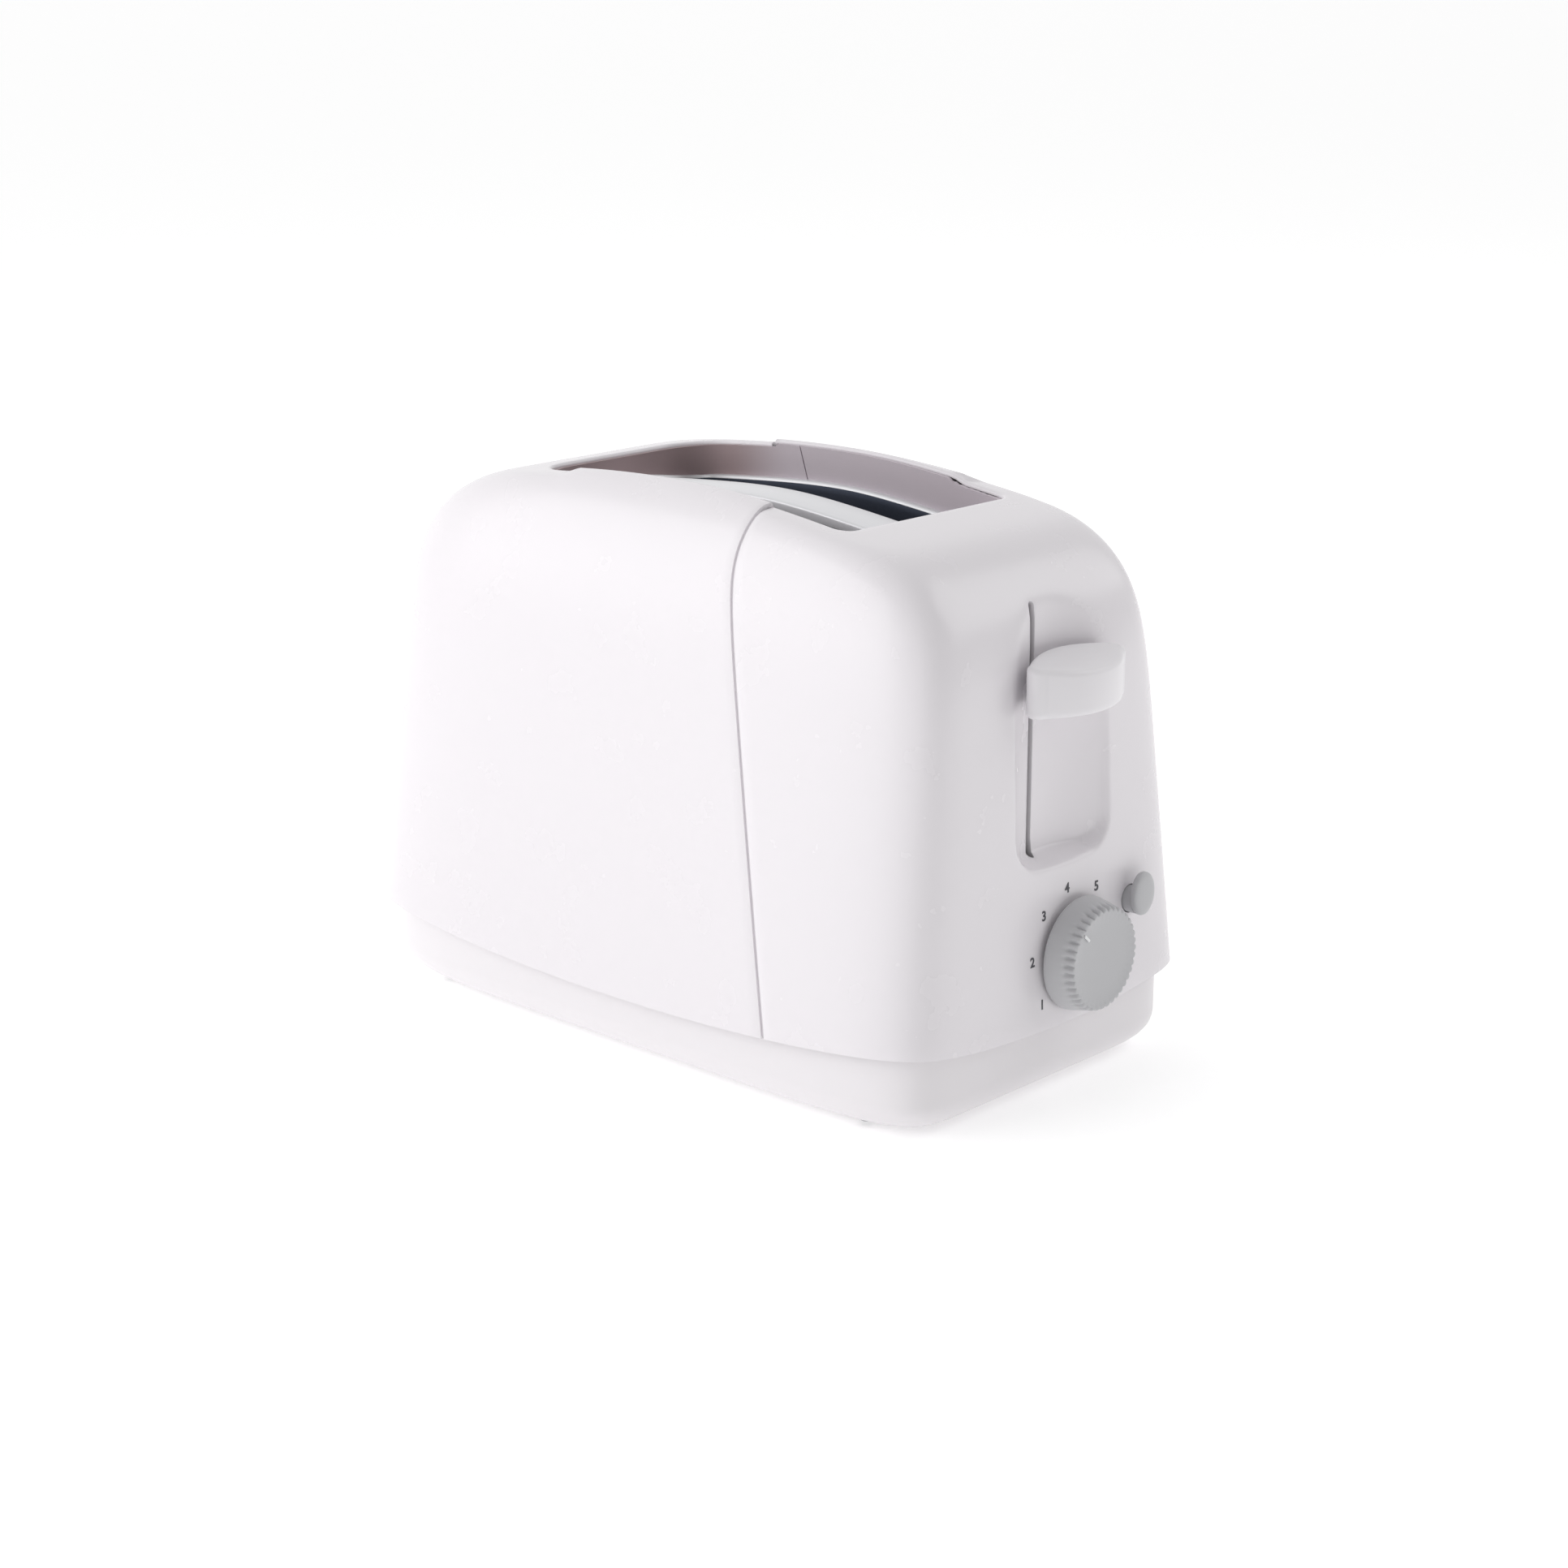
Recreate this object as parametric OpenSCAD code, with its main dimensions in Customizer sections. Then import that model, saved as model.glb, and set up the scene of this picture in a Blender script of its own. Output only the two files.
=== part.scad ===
// Two-slot pop-up toaster.
// Frame: X along the long side with the lever and dial at +X, Y across, Z up.
// The origin is on the standing surface, under the middle of the whole toaster.
// Heights below are given from the casing's own zero level, base_drop above that surface.

/* [Casing] */
// Length of the casing at its lower edge
casing_l = 260; // [250:1:270]
// Width of the casing at its lower edge
casing_w = 156.4; // [150:0.2:162]
// Height of the rim of the bread opening at mid length
rim_h = 187.5; // [184:0.5:192]
// Wall thickness of the mouldings
wall = 2.5; // [2:0.1:3]
// Width of the dark joint line between the two casing halves
seam_gap = 0.8; // [0.4:0.1:1.2]

/* [Base] */
// Length of the base
base_l = 254; // [246:1:256]
// Width of the base
base_w = 145; // [140:1:148]
// Radius of the rolled lower edge of the base
base_roll = 11; // [8:0.5:12]
// Thickness of the rubber below the base
foot_proud = 1.5; // [1:0.1:2]
// How far the feet stand below the casing's zero level
base_drop = 5; // [4:0.5:6]

/* [Bread opening] */
// Length of the opening in the casing
opening_l = 145; // [140:1:148]
// Width of the opening in the casing
opening_w = 81.6; // [80:0.2:82]
// Length of each bread slot
slot_l = 132; // [124:1:134]
// Width of each bread slot
slot_w = 27.6; // [24:0.2:28]
// Width of the strip between the two slots
strip_w = 16.8; // [15:0.2:18]

/* [Lever] */
// How far the lever goes down from rest, to the latched place
lever_down = 48; // [44:1:50]
// How far the lever lifts above rest, to raise small slices
lever_lift = 12; // [6:1:13]
// Width of the finger lever
knob_w = 46; // [40:1:46]
// Height of the finger lever
knob_h = 17; // [14:0.5:17]

/* [Controls] */
// Radius of the browning dial at its foot
dial_r = 19; // [17:0.5:20]
// Radius of the front face of the dial
dial_face_r = 16.5; // [14:0.5:17]
// Number of scallops round the dial's front edge
dial_scallops = 40; // [24:1:48]
// Width of the oval cancel button
button_w = 11.2; // [9:0.2:12]
// Height of the oval cancel button
button_h = 14.8; // [12:0.2:16]
// Travel of the cancel button
button_travel = 2; // [1:0.5:2]

/* [Hidden] */
$fn = 48;
eps = 0.05;

// The casing is a rounded, tapered box: a superellipse in plan whose exponents
// and size change with height, with its top cut by an arched sheet.
plan_x_power = 4.8;
plan_y_power = 12;
height_power = 11.34;
shoulder_power = 0.29;
crown_h = 195.2;           // where the sides would meet above the rim
edge_h = 27.2;             // height of the lower edge at the corners
end_taper = 0.05;          // lean of the ends, mm per mm
side_taper = 0.13;         // lean of the long sides, mm per mm
edge_sag_side = 8.2;       // the lower edge dips at mid side
edge_sag_end = 7.4;        // and at mid end
arch_flat = 30;            // flat stretch of the arch
arch_slope = 0.15;         // slope of the arch towards the control end
arch_slope_rear = 0.1;     // and towards the rear end, which falls less
blend = 2.5;               // softness between the arch and the shoulders
pad_rise = 1.4;            // raised rim along the long arm of each half
pad_from = -33;
pad_to = 50;

lever_reach = 141;         // front of the lever from the casing's own middle
casing_x = -(lever_reach - casing_l / 2) / 2;   // puts the whole toaster on the origin
side_steps = [0.9, 0.8, 0.68, 0.54, 0.38, 0.2];
end_steps = [0, 0.3, 0.55, 0.72, 0.82, 0.88];
levels = [0, 0.12, 0.3, 0.5, 0.65, 0.76, 0.84, 0.89, 0.925, 0.95, 0.967, 0.98, 0.99];
base_top = 31;
base_low = foot_proud - base_drop;
base_floor = 2.5;
floor_z = base_low + base_floor;   // upper face of the base's floor
plate_t = 1;
slot_y = strip_w / 2 + slot_w / 2;
plate_drop = 11;           // slot plate below the rim
collar_h = 8;

// Lever, carriage and rod
rest_rack_z = 92;
lever_z = 131.75;
arm_t = 2;
arm_y = -4;
knob_y = 4;
knob_low = 125.3;
knob_front_r = 31.2;       // bow of the lever's front
scoop_r = 41.1;            // the thumb recess is part of an upright cylinder
scoop_x = 159;             // whose axis stands in front of the casing
knob_clear = 3.2;          // between the lever's back and the recess
recess_y = [-22, 30];
recess_z = [73.5, 170];
recess_r = 12;
slot_z = [76, 159];        // ends of the lever's slot
arm_tip = 131;
rod_x = 92;
rod_y = 14;
rod_r = 2;
rod_top = 162;
rod_low = 24;
rod_seat_top = 35.5;
core_top = 38;             // pole of the magnet, just under the latched armature
bush_r = 4.5;
running_gap = 0.06;
spring_y = -14;
spring_r = 4;
spring_wire = 0.6;
spring_turns = 9;
carriage_x = 84;
carriage_t = 1.5;

// Oven
chassis_x = 77;
chassis_y = 47;
oven_low = 32;
oven_high = 158;
heater_y = 41.5;
board_t = 0.8;
heater_l = 140;
heater_z = [46, 150];
ribbon_step = 9;
guide_gap = 12.6;          // guide wires from the middle of a slot
wire_r = 0.9;
rail_r = 1.2;
guide_low = 42;
guide_high = 154;

// Controls
dial_y = 9;
dial_z = 42.5;
dial_back = 130.6;
button_y = 38.8;
button_z = 56;
button_stem_z = 53.2;
button_stem_r = 4.5;
panel_face = 130.3;        // the button's cap stops this far out when it is pressed
button_cap_t = 2.7;
button_front = panel_face + button_travel + button_cap_t;
board_x = 109;
shaft_r = 3;
post_x = 100;
post_y = 60;
post_r = 4.5;
post_low = 8;              // lower end of the casing's screw posts
screw_r = 1.8;
screw_hole_r = 2.1;
rib_y = 71;                // ribs join the posts to the side walls here
foot_x = 92;
foot_y = 48;
foot_r = 7.9;
foot_h = 3;
tray_l = 194;
tray_w = 78;
tray_h = 7;
tray_gap = 0.4;            // under the crumb tray
mouth_h = 14;              // height of the crumb tray's way out of the base
tray_back = -125;
inlet_y = -32;
inlet_z = 42;

function signed_pow(v, p) = sign(v) * pow(abs(v), p);

// A quarter of the unit superellipse, from the end's middle to the side's middle
function quarter() = concat(
  [for (v = end_steps) [pow(1 - pow(v, plan_y_power), 1 / plan_x_power), v]],
  [for (u = side_steps) [u, pow(1 - pow(u, plan_x_power), 1 / plan_y_power)]]);
function ring_shape() = concat(
  [for (p = quarter()) p],
  [[0, 1]],
  [for (i = [len(quarter()) - 1 : -1 : 0]) [-quarter()[i][0], quarter()[i][1]]],
  [for (i = [1 : len(quarter()) - 1]) [-quarter()[i][0], -quarter()[i][1]]],
  [[0, -1]],
  [for (i = [len(quarter()) - 1 : -1 : 1]) [quarter()[i][0], -quarter()[i][1]]]);

function arch(x) = rim_h
  - (x < 0 ? arch_slope_rear : arch_slope) * (sqrt(arch_flat * arch_flat + x * x) - arch_flat);
function soft_min(a, b) = (a + b - sqrt((a - b) * (a - b) + blend * blend)) / 2;
function ramp(v) = v <= 0 ? 0 : v >= 1 ? 1 : v * v * (3 - 2 * v);
// The raised rim runs along the near side of one half and, turned half round,
// along the far side of the other
function pad(x, y) = let (s = y < 0 ? -x : x)
  pad_rise * ramp((s - pad_from) / 3) * ramp((pad_to - s) / 3) * ramp((54 - abs(y)) / 8);

// A point of the casing's surface, at a plan direction and a level from 0 to 1
function casing_point(dir, level, inset, low) =
  let (high = crown_h - inset,
       z = edge_h + level * (high - edge_h),
       spread = pow(1 - pow(level, height_power), 1 / shoulder_power),
       half_l = casing_l / 2 - inset - end_taper * (z - edge_h),
       half_w = casing_w / 2 - inset - side_taper * (z - edge_h),
       x = half_l * pow(spread, 1 / plan_x_power) * dir[0],
       y = half_w * pow(spread, 1 / plan_y_power) * dir[1],
       sag = edge_sag_side * (1 - dir[0] * dir[0]) + edge_sag_end * (1 - dir[1] * dir[1]) + low,
       top = arch(x) + 0.4 + pad(x, y) - inset)
  [x, y, soft_min(z, top) - sag * pow(1 - level, 3)];

// A closed solid from rings of equal length, lowest first
module loft(rings, cap) {
  n = len(rings[0]);
  last = len(rings) - 1;
  points = concat([for (r = rings) for (p = r) p], [cap]);
  polyhedron(points, concat(
    [[for (i = [0 : n - 1]) i]],
    [for (k = [0 : last - 1]) for (i = [0 : n - 1])
      [k * n + i, (k + 1) * n + i, k * n + (i + 1) % n]],
    [for (k = [0 : last - 1]) for (i = [0 : n - 1])
      [k * n + (i + 1) % n, (k + 1) * n + i, (k + 1) * n + (i + 1) % n]],
    [for (i = [0 : n - 1]) [last * n + i, len(points) - 1, last * n + (i + 1) % n]]));
}

// The casing as a solid block, drawn in by inset and with its lower edge lowered
module casing_block(inset, low) {
  dirs = ring_shape();
  foot = [for (d = dirs) let (p = casing_point(d, 0, inset, low)) [p[0], p[1], 12 - low]];
  body = [for (l = levels) [for (d = dirs) casing_point(d, l, inset, 0)]];
  rings = low > 0 ? concat([foot], body) : body;
  loft_open(rings, [0, 0, arch(0) + 0.4 - inset]);
}

// As loft, with the lowest ring closed by a fan, for an edge that isn't flat
module loft_open(rings, cap) {
  n = len(rings[0]);
  last = len(rings) - 1;
  points = concat([for (r = rings) for (p = r) p], [cap, [0, 0, rings[0][0][2]]]);
  polyhedron(points, concat(
    [for (i = [0 : n - 1]) [len(points) - 1, i, (i + 1) % n]],
    [for (k = [0 : last - 1]) for (i = [0 : n - 1])
      [k * n + i, (k + 1) * n + i, k * n + (i + 1) % n]],
    [for (k = [0 : last - 1]) for (i = [0 : n - 1])
      [k * n + (i + 1) % n, (k + 1) * n + i, (k + 1) * n + (i + 1) % n]],
    [for (i = [0 : n - 1]) [last * n + i, len(points) - 2, last * n + (i + 1) % n]]));
}

module rounded_rect(l, w, r) {
  square([l - 2 * r, w], center = true);
  square([l, w - 2 * r], center = true);
  for (x = [-1, 1], y = [-1, 1]) translate([x * (l / 2 - r), y * (w / 2 - r)]) circle(r);
}

module slab(l, w, r, h) {
  linear_extrude(h) rounded_rect(l, w, r);
}

// A box between two corners
module span(a, b) {
  translate(a) cube(b - a);
}

// A rod along X, Y or Z between two places
module rod_x_dir(x0, x1, y, z, r) {
  translate([x0, y, z]) rotate([0, 90, 0]) cylinder(h = x1 - x0, r = r);
}

module in_casing() {
  translate([casing_x, 0, base_drop]) children();
}

// The casing's wall, open below and at the bread opening
module casing_wall() {
  difference() {
    casing_block(0, 0);
    casing_block(wall, 12);
    translate([0, 0, 150]) slab(opening_l, opening_w, 5, 60);
  }
}

// One side of the joint line, as an upright prism from x = -160 to the line
module line_prism(x_low, x_shoulder, x_rim) {
  rotate([90, 0, 0]) linear_extrude(120)
    polygon([[-160, 0], [x_low, 0], [x_shoulder, 169], [x_rim, 190], [x_rim, 220], [-160, 220]]);
}

// Everything on the rear side of the joint line, which leans one way on the near
// side and the other way on the far side
module rear_side(gap) {
  line_prism(76 - gap, 39 - gap, 43 - gap);
  translate([0, 120, 0]) line_prism(-76 - gap, -39 - gap, -33 - gap);
}

module post(x, y) {
  difference() {
    union() {
      translate([x, y, post_low]) cylinder(h = 50, r = post_r);
      span([x - 1.25, y > 0 ? y : -rib_y, 42], [x + 1.25, y > 0 ? rib_y : y, 57]);
    }
    translate([x, y, post_low - 1]) cylinder(h = 30, r = screw_r + 0.05);
  }
}

module rear_shell() {
  color("white") in_casing() {
    difference() {
      intersection() {
        casing_wall();
        rear_side(seam_gap / 2);
      }
      rod_x_dir(-140, -115, inlet_y, inlet_z, 5.6);
    }
    for (s = [-1, 1]) post(-post_x, s * post_y);
  }
}

// The rounded outline of the thumb recess, extruded along X
module recess_prism(x0, x1, grow) {
  l = recess_z[1] - recess_z[0] + 2 * grow;
  w = recess_y[1] - recess_y[0] + 2 * grow;
  translate([x0, (recess_y[0] + recess_y[1]) / 2, (recess_z[0] + recess_z[1]) / 2])
    rotate([0, 90, 0]) slab(l, w, recess_r + grow, x1 - x0);
}

// The thumb recess: an upright cylinder that stops at a rounded lower end
module scoop(grow) {
  intersection() {
    recess_prism(110, 160, grow);
    translate([scoop_x, knob_y, 60]) cylinder(h = 130, r = scoop_r + grow);
  }
}

module control_shell() {
  color("white") in_casing() {
    difference() {
      union() {
        difference() {
          casing_wall();
          rear_side(-seam_gap / 2);
        }
        intersection() {
          casing_block(0.2, 0);
          scoop(2);
        }
      }
      scoop(0);
      span([110, arm_y - 1.6, slot_z[0]], [130, arm_y + 1.6, slot_z[1]]);
      rod_x_dir(120, 140, dial_y, dial_z, shaft_r + 1.5);
      rod_x_dir(120, 140, button_y, button_stem_z, button_stem_r + 0.4);
    }
    for (s = [-1, 1]) post(post_x, s * post_y);
  }
}

// The base: a ring shape with a rolled lower edge
function base_ring(inset, z) = [for (d = ring_shape())
  [(base_l / 2 - inset) * d[0], (base_w / 2 - inset) * d[1], z]];

module base_tray() {
  roll_steps = [90, 65, 40, 20, 0];
  rings = concat(
    [for (a = roll_steps) base_ring(base_roll * (1 - cos(a)), base_low + base_roll * (1 - sin(a)))],
    [base_ring(0, base_top)]);
  color("whitesmoke") in_casing() {
    difference() {
      loft(rings, [0, 0, base_top]);
      translate([0, 0, floor_z]) slab(base_l - 8, base_w - 6, 30, 60);
      for (x = [-1, 1], y = [-1, 1]) {
        translate([x * foot_x, y * foot_y, -base_drop]) cylinder(h = foot_h, r = foot_r + 0.1);
        translate([x * post_x, y * post_y, -base_drop]) cylinder(h = 9 + base_drop, r = screw_hole_r);
      }
      span([-140, -tray_w / 2 - 1, floor_z - 0.5], [-115, tray_w / 2 + 1, floor_z + mouth_h]);
    }
    for (x = [-1, 1], y = [-1, 1]) translate([x * post_x, y * post_y, floor_z - eps]) difference() {
      cylinder(h = post_low - 0.1 - floor_z, r = post_r + 1);
      translate([0, 0, -1]) cylinder(h = 20, r = screw_hole_r);
    }
    translate([rod_x, rod_y, floor_z - eps]) difference() {
      cylinder(h = rod_seat_top - floor_z, r = 5);
      translate([0, 0, rod_low - floor_z]) cylinder(h = 20, r = rod_r);
    }
  }
}

module well_lining() {
  color("gainsboro") in_casing() intersection() {
    casing_block(wall + 0.3, 0);
    difference() {
      translate([0, 0, 163]) slab(opening_l + 3.6, opening_w + 3.6, 6.8, 40);
      translate([0, 0, 160]) slab(opening_l, opening_w, 5, 50);
    }
  }
}

// An arched sheet that follows the rim at a distance below it
module arched_sheet(drop, t, l, w) {
  steps = 16;
  xs = [for (i = [0 : steps]) -l / 2 + l * i / steps];
  translate([0, w / 2, 0]) rotate([90, 0, 0]) linear_extrude(w)
    polygon(concat([for (x = xs) [x, arch(x) - drop]],
      [for (i = [steps : -1 : 0]) [xs[i], arch(xs[i]) - drop - t]]));
}

module slot_plate() {
  color("silver") in_casing() difference() {
    union() {
      intersection() {
        arched_sheet(plate_drop, plate_t, opening_l - 1, opening_w - 1);
        translate([0, 0, 150]) slab(opening_l - 1, opening_w - 1, 5, 50);
      }
      arched_sheet(plate_drop - 2.6, 3.4, slot_l + 4, strip_w);
      for (s = [-1, 1]) translate([0, s * slot_y, 0]) intersection() {
        arched_sheet(plate_drop + plate_t / 2, collar_h, slot_l + 1.6, slot_w + 1.6);
        translate([0, 0, 150]) slab(slot_l + 1.6, slot_w + 1.6, 6.8, 50);
      }
    }
    for (s = [-1, 1]) translate([0, s * slot_y, 140]) slab(slot_l, slot_w, 6, 60);
  }
}

// A steel end plate of the oven
module end_plate(x) {
  span([x, -chassis_y, floor_z], [x + 1, chassis_y, oven_high]);
}

// The way through an end plate for the crumb tray
module tray_gate(x) {
  span([x - 3, -tray_w / 2 - 1, floor_z - 1], [x + 3, tray_w / 2 + 1, floor_z + tray_h + 3]);
}

module rack_slots(x) {
  for (s = [-1, 1]) span([x - 2, s * slot_y - 3, rest_rack_z - lever_down - 5],
    [x + 3, s * slot_y + 3, rest_rack_z + lever_lift + 5]);
}

module front_plate() {
  color("lightsteelblue") in_casing() difference() {
    union() {
      end_plate(chassis_x);
      span([chassis_x, -24, oven_high - 1], [rod_x + 7, 24, oven_high + 0.4]);
    }
    rack_slots(chassis_x);
    translate([rod_x, rod_y, oven_high - 5]) cylinder(h = 10, r = rod_r);
    tray_gate(chassis_x);
  }
}

module rear_plate() {
  color("lightsteelblue") in_casing() difference() {
    end_plate(-chassis_x - 1);
    tray_gate(-chassis_x);
  }
}

// A folded reflector behind an outer heater, side is -1 near or 1 far
module reflector(side) {
  y0 = side * (chassis_y - 1);
  l = 2 * chassis_x - 1;
  color("lightgray") in_casing() {
    span([-l / 2, min(y0, y0 + side * 0.8), oven_low], [l / 2, max(y0, y0 + side * 0.8), oven_high - 6]);
    span([-l / 2, min(y0, y0 - side * 9), oven_low - 0.8], [l / 2, max(y0, y0 - side * 9), oven_low + eps]);
    span([-l / 2, min(y0, y0 - side * 4), oven_high - 6 - eps],
      [l / 2, max(y0, y0 - side * 4), oven_high - 5.2]);
  }
}

module heater_board(y) {
  color("wheat") in_casing()
    span([-heater_l / 2, y - board_t / 2, heater_z[0]], [heater_l / 2, y + board_t / 2, heater_z[1]]);
}

// Flat ribbon wound round a board, one closed band for each turn
module winding(y) {
  turns = floor((heater_l - 12) / ribbon_step);
  half_t = board_t / 2 + 0.1;
  color("dimgray") in_casing() for (i = [0 : turns]) {
    x = (i - turns / 2) * ribbon_step;
    difference() {
      span([x - 0.8, y - half_t - 0.3, heater_z[0] - 0.5], [x + 0.8, y + half_t + 0.3, heater_z[1] + 0.5]);
      span([x - 1, y - half_t, heater_z[0] - 0.1], [x + 1, y + half_t, heater_z[1] + 0.1]);
    }
  }
}

// A wire guide that keeps a slice off a heater
module guide(y) {
  color("gray") in_casing() {
    for (z = [guide_low, guide_high]) rod_x_dir(-66, 66, y, z, rail_r);
    for (i = [-4 : 4]) translate([i * 15, y, guide_low]) cylinder(h = guide_high - guide_low, r = wire_r);
  }
}

module rack(y) {
  color("gray") in_casing() {
    span([-70, y - 1.5, rest_rack_z - 3], [carriage_x, y + 1.5, rest_rack_z]);
    for (i = [-4 : 4]) span([i * 15 - 1, y - 8, rest_rack_z - 1.5], [i * 15 + 1, y + 8, rest_rack_z + 0.5]);
  }
}

module carriage() {
  color("silver") in_casing() difference() {
    union() {
      span([carriage_x, -34, rest_rack_z - 6], [carriage_x + carriage_t, 34, rest_rack_z + 2]);
      span([carriage_x, -22, rest_rack_z], [carriage_x + carriage_t, 22, 137]);
      span([carriage_x, rod_y - 6, 96], [rod_x + 6, rod_y + 6, 124]);
      span([carriage_x, spring_y - 6, 134.8], [rod_x + 5, spring_y + 6, 136.2]);
      span([carriage_x, -33, 89], [rod_x + 8, -21, 90.4]);
    }
    translate([rod_x, rod_y, 90]) cylinder(h = 40, r = bush_r);
  }
}

module carriage_bush() {
  color("gold") in_casing() translate([rod_x, rod_y, 95]) difference() {
    cylinder(h = 30, r = bush_r);
    translate([0, 0, -1]) cylinder(h = 32, r = rod_r + running_gap);
  }
}

module guide_rod() {
  color("silver") in_casing() translate([rod_x, rod_y, rod_low]) cylinder(h = rod_top - rod_low, r = rod_r);
}

// A tube swept along points whose tangents are near level, with six sides
function coil_point(a, r) = [r * cos(a), r * sin(a)];
module lift_spring() {
  low = 136.3;
  high = oven_high - 1.1;
  steps = 14 * spring_turns;
  sides = 6;
  pitch_span = high - low - 2 * spring_wire;
  rings = [for (i = [0 : steps])
    let (a = i * 360 * spring_turns / steps, z = low + spring_wire + pitch_span * i / steps)
    [for (k = [0 : sides - 1]) let (b = k * 360 / sides, c = coil_point(a, spring_r + spring_wire * cos(b)))
      [c[0], c[1], z + spring_wire * sin(b)]]];
  points = [for (r = rings) for (p = r) p];
  color("silver") in_casing() translate([rod_x, spring_y, 0]) polyhedron(points, concat(
    [[for (k = [0 : sides - 1]) k]],
    [for (i = [0 : steps - 1]) for (k = [0 : sides - 1])
      [i * sides + k, (i + 1) * sides + k, i * sides + (k + 1) % sides]],
    [for (i = [0 : steps - 1]) for (k = [0 : sides - 1])
      [i * sides + (k + 1) % sides, (i + 1) * sides + k, (i + 1) * sides + (k + 1) % sides]],
    [[for (k = [sides - 1 : -1 : 0]) steps * sides + k]]));
}

module lever_arm() {
  color("silver") in_casing()
    span([carriage_x + carriage_t, arm_y - arm_t / 2, lever_z - 5],
      [arm_tip, arm_y + arm_t / 2, lever_z + 5]);
}

// A lens-shaped finger lever: its back follows the recess and its front is bowed
module lever_knob() {
  color("white") in_casing() difference() {
    translate([0, knob_y, knob_low]) linear_extrude(knob_h) intersection() {
      translate([lever_reach - knob_front_r, 0]) circle(knob_front_r);
      translate([scoop_x, 0]) circle(scoop_r - knob_clear);
      translate([100, -knob_w / 2]) square([60, knob_w]);
    }
    span([100, arm_y - arm_t / 2, lever_z - 5], [arm_tip, arm_y + arm_t / 2, lever_z + 5]);
  }
}

module latch_armature() {
  color("slategray") in_casing() span([rod_x - 4, -32, 86.6], [rod_x + 7, -22, 89]);
}

module magnet_core() {
  color("slategray") in_casing() {
    translate([rod_x + 1.5, -27, floor_z]) cylinder(h = core_top - floor_z, r = 3);
    span([rod_x - 5, -33, floor_z], [rod_x + 8, -21, 8]);
  }
}

module magnet_coil() {
  color("peru") in_casing() translate([rod_x + 1.5, -27, 9]) difference() {
    cylinder(h = 26, r = 7);
    translate([0, 0, -1]) cylinder(h = 28, r = 3);
  }
}

module control_board() {
  color("darkgreen") in_casing() difference() {
    span([board_x, -40, 6], [board_x + 1.6, 54, 68]);
    rod_x_dir(board_x - 2, board_x + 4, dial_y, dial_z, shaft_r + 1);
  }
}

module potentiometer() {
  color("dimgray") in_casing() difference() {
    rod_x_dir(board_x + 1.6, board_x + 9, dial_y, dial_z, 9);
    rod_x_dir(board_x, board_x + 12, dial_y, dial_z, shaft_r + running_gap);
  }
}

module dial_shaft() {
  color("white") in_casing() rod_x_dir(board_x + 2, dial_back + 6, dial_y, dial_z, shaft_r);
}

// A conical dial with small scallops round its front edge
module dial() {
  face_t = 3;
  depth = lever_reach - dial_back;
  color("silver") in_casing() translate([dial_back, dial_y, dial_z]) rotate([0, 90, 0]) difference() {
    rotate_extrude() polygon([[0, 0], [dial_r, 0], [dial_face_r + 0.8, depth - face_t],
      [dial_face_r, depth], [0, depth]]);
    for (i = [0 : dial_scallops - 1]) rotate([0, 0, i * 360 / dial_scallops])
      translate([dial_face_r + 1, 0, depth - face_t + 0.4]) cylinder(h = face_t + 1, r = 0.9);
    translate([0, 0, -1]) cylinder(h = 7, r = shaft_r);
  }
}

// An oval cap on a round stem that sits low behind it
module cancel_button() {
  r = button_w / 2;
  rise = button_h / 2 - r;
  cap_x = button_front - button_cap_t;
  color("silver") in_casing() {
    for (s = [-1, 1]) rod_x_dir(cap_x, button_front, button_y, button_z + s * rise, r);
    span([cap_x, button_y - r, button_z - rise], [button_front, button_y + r, button_z + rise]);
    rod_x_dir(118.4, cap_x + eps, button_y, button_stem_z, button_stem_r);
    rod_x_dir(122.4, 124, button_y, button_stem_z, button_stem_r + 1.6);
  }
}

module cancel_switch() {
  color("dimgray") in_casing() {
    span([board_x + 1.6, button_y - 3.5, button_stem_z - 3.5], [114.4, button_y + 3.5, button_stem_z + 3.5]);
    rod_x_dir(114.4 - eps, 116, button_y, button_stem_z, 1.8);
  }
}

module mains_switch() {
  color("dimgray") in_casing() span([80, 24, floor_z], [98, 38, 36]);
}

module crumb_tray() {
  z0 = floor_z + tray_gap;
  color("silver") in_casing() {
    difference() {
      span([tray_back, -tray_w / 2, z0], [tray_back + tray_l, tray_w / 2, z0 + tray_h]);
      span([tray_back + 2, -tray_w / 2 + 1, z0 + 1], [tray_back + tray_l - 1, tray_w / 2 - 1, 40]);
    }
    span([tray_back - 1.6, -tray_w / 2 + 1, z0], [tray_back + 2, tray_w / 2 - 1, floor_z + mouth_h - 1]);
  }
}

module cord_inlet() {
  color("dimgray") in_casing() difference() {
    union() {
      rod_x_dir(-129.8, -114, inlet_y, inlet_z, 5.5);
      rod_x_dir(-126, -123.5, inlet_y, inlet_z, 8);
    }
    rod_x_dir(-132, -110, inlet_y, inlet_z, 3.4);
  }
}

module feet() {
  color("black") in_casing() for (x = [-1, 1], y = [-1, 1])
    translate([x * foot_x, y * foot_y, -base_drop]) cylinder(h = foot_h, r = foot_r);
}

module base_screws() {
  color("silver") in_casing() for (x = [-1, 1], y = [-1, 1])
    translate([x * post_x, y * post_y, base_low + 0.1]) {
      cylinder(h = 1, r = 2);
      cylinder(h = 30 + base_drop, r = screw_r);
    }
}

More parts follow.
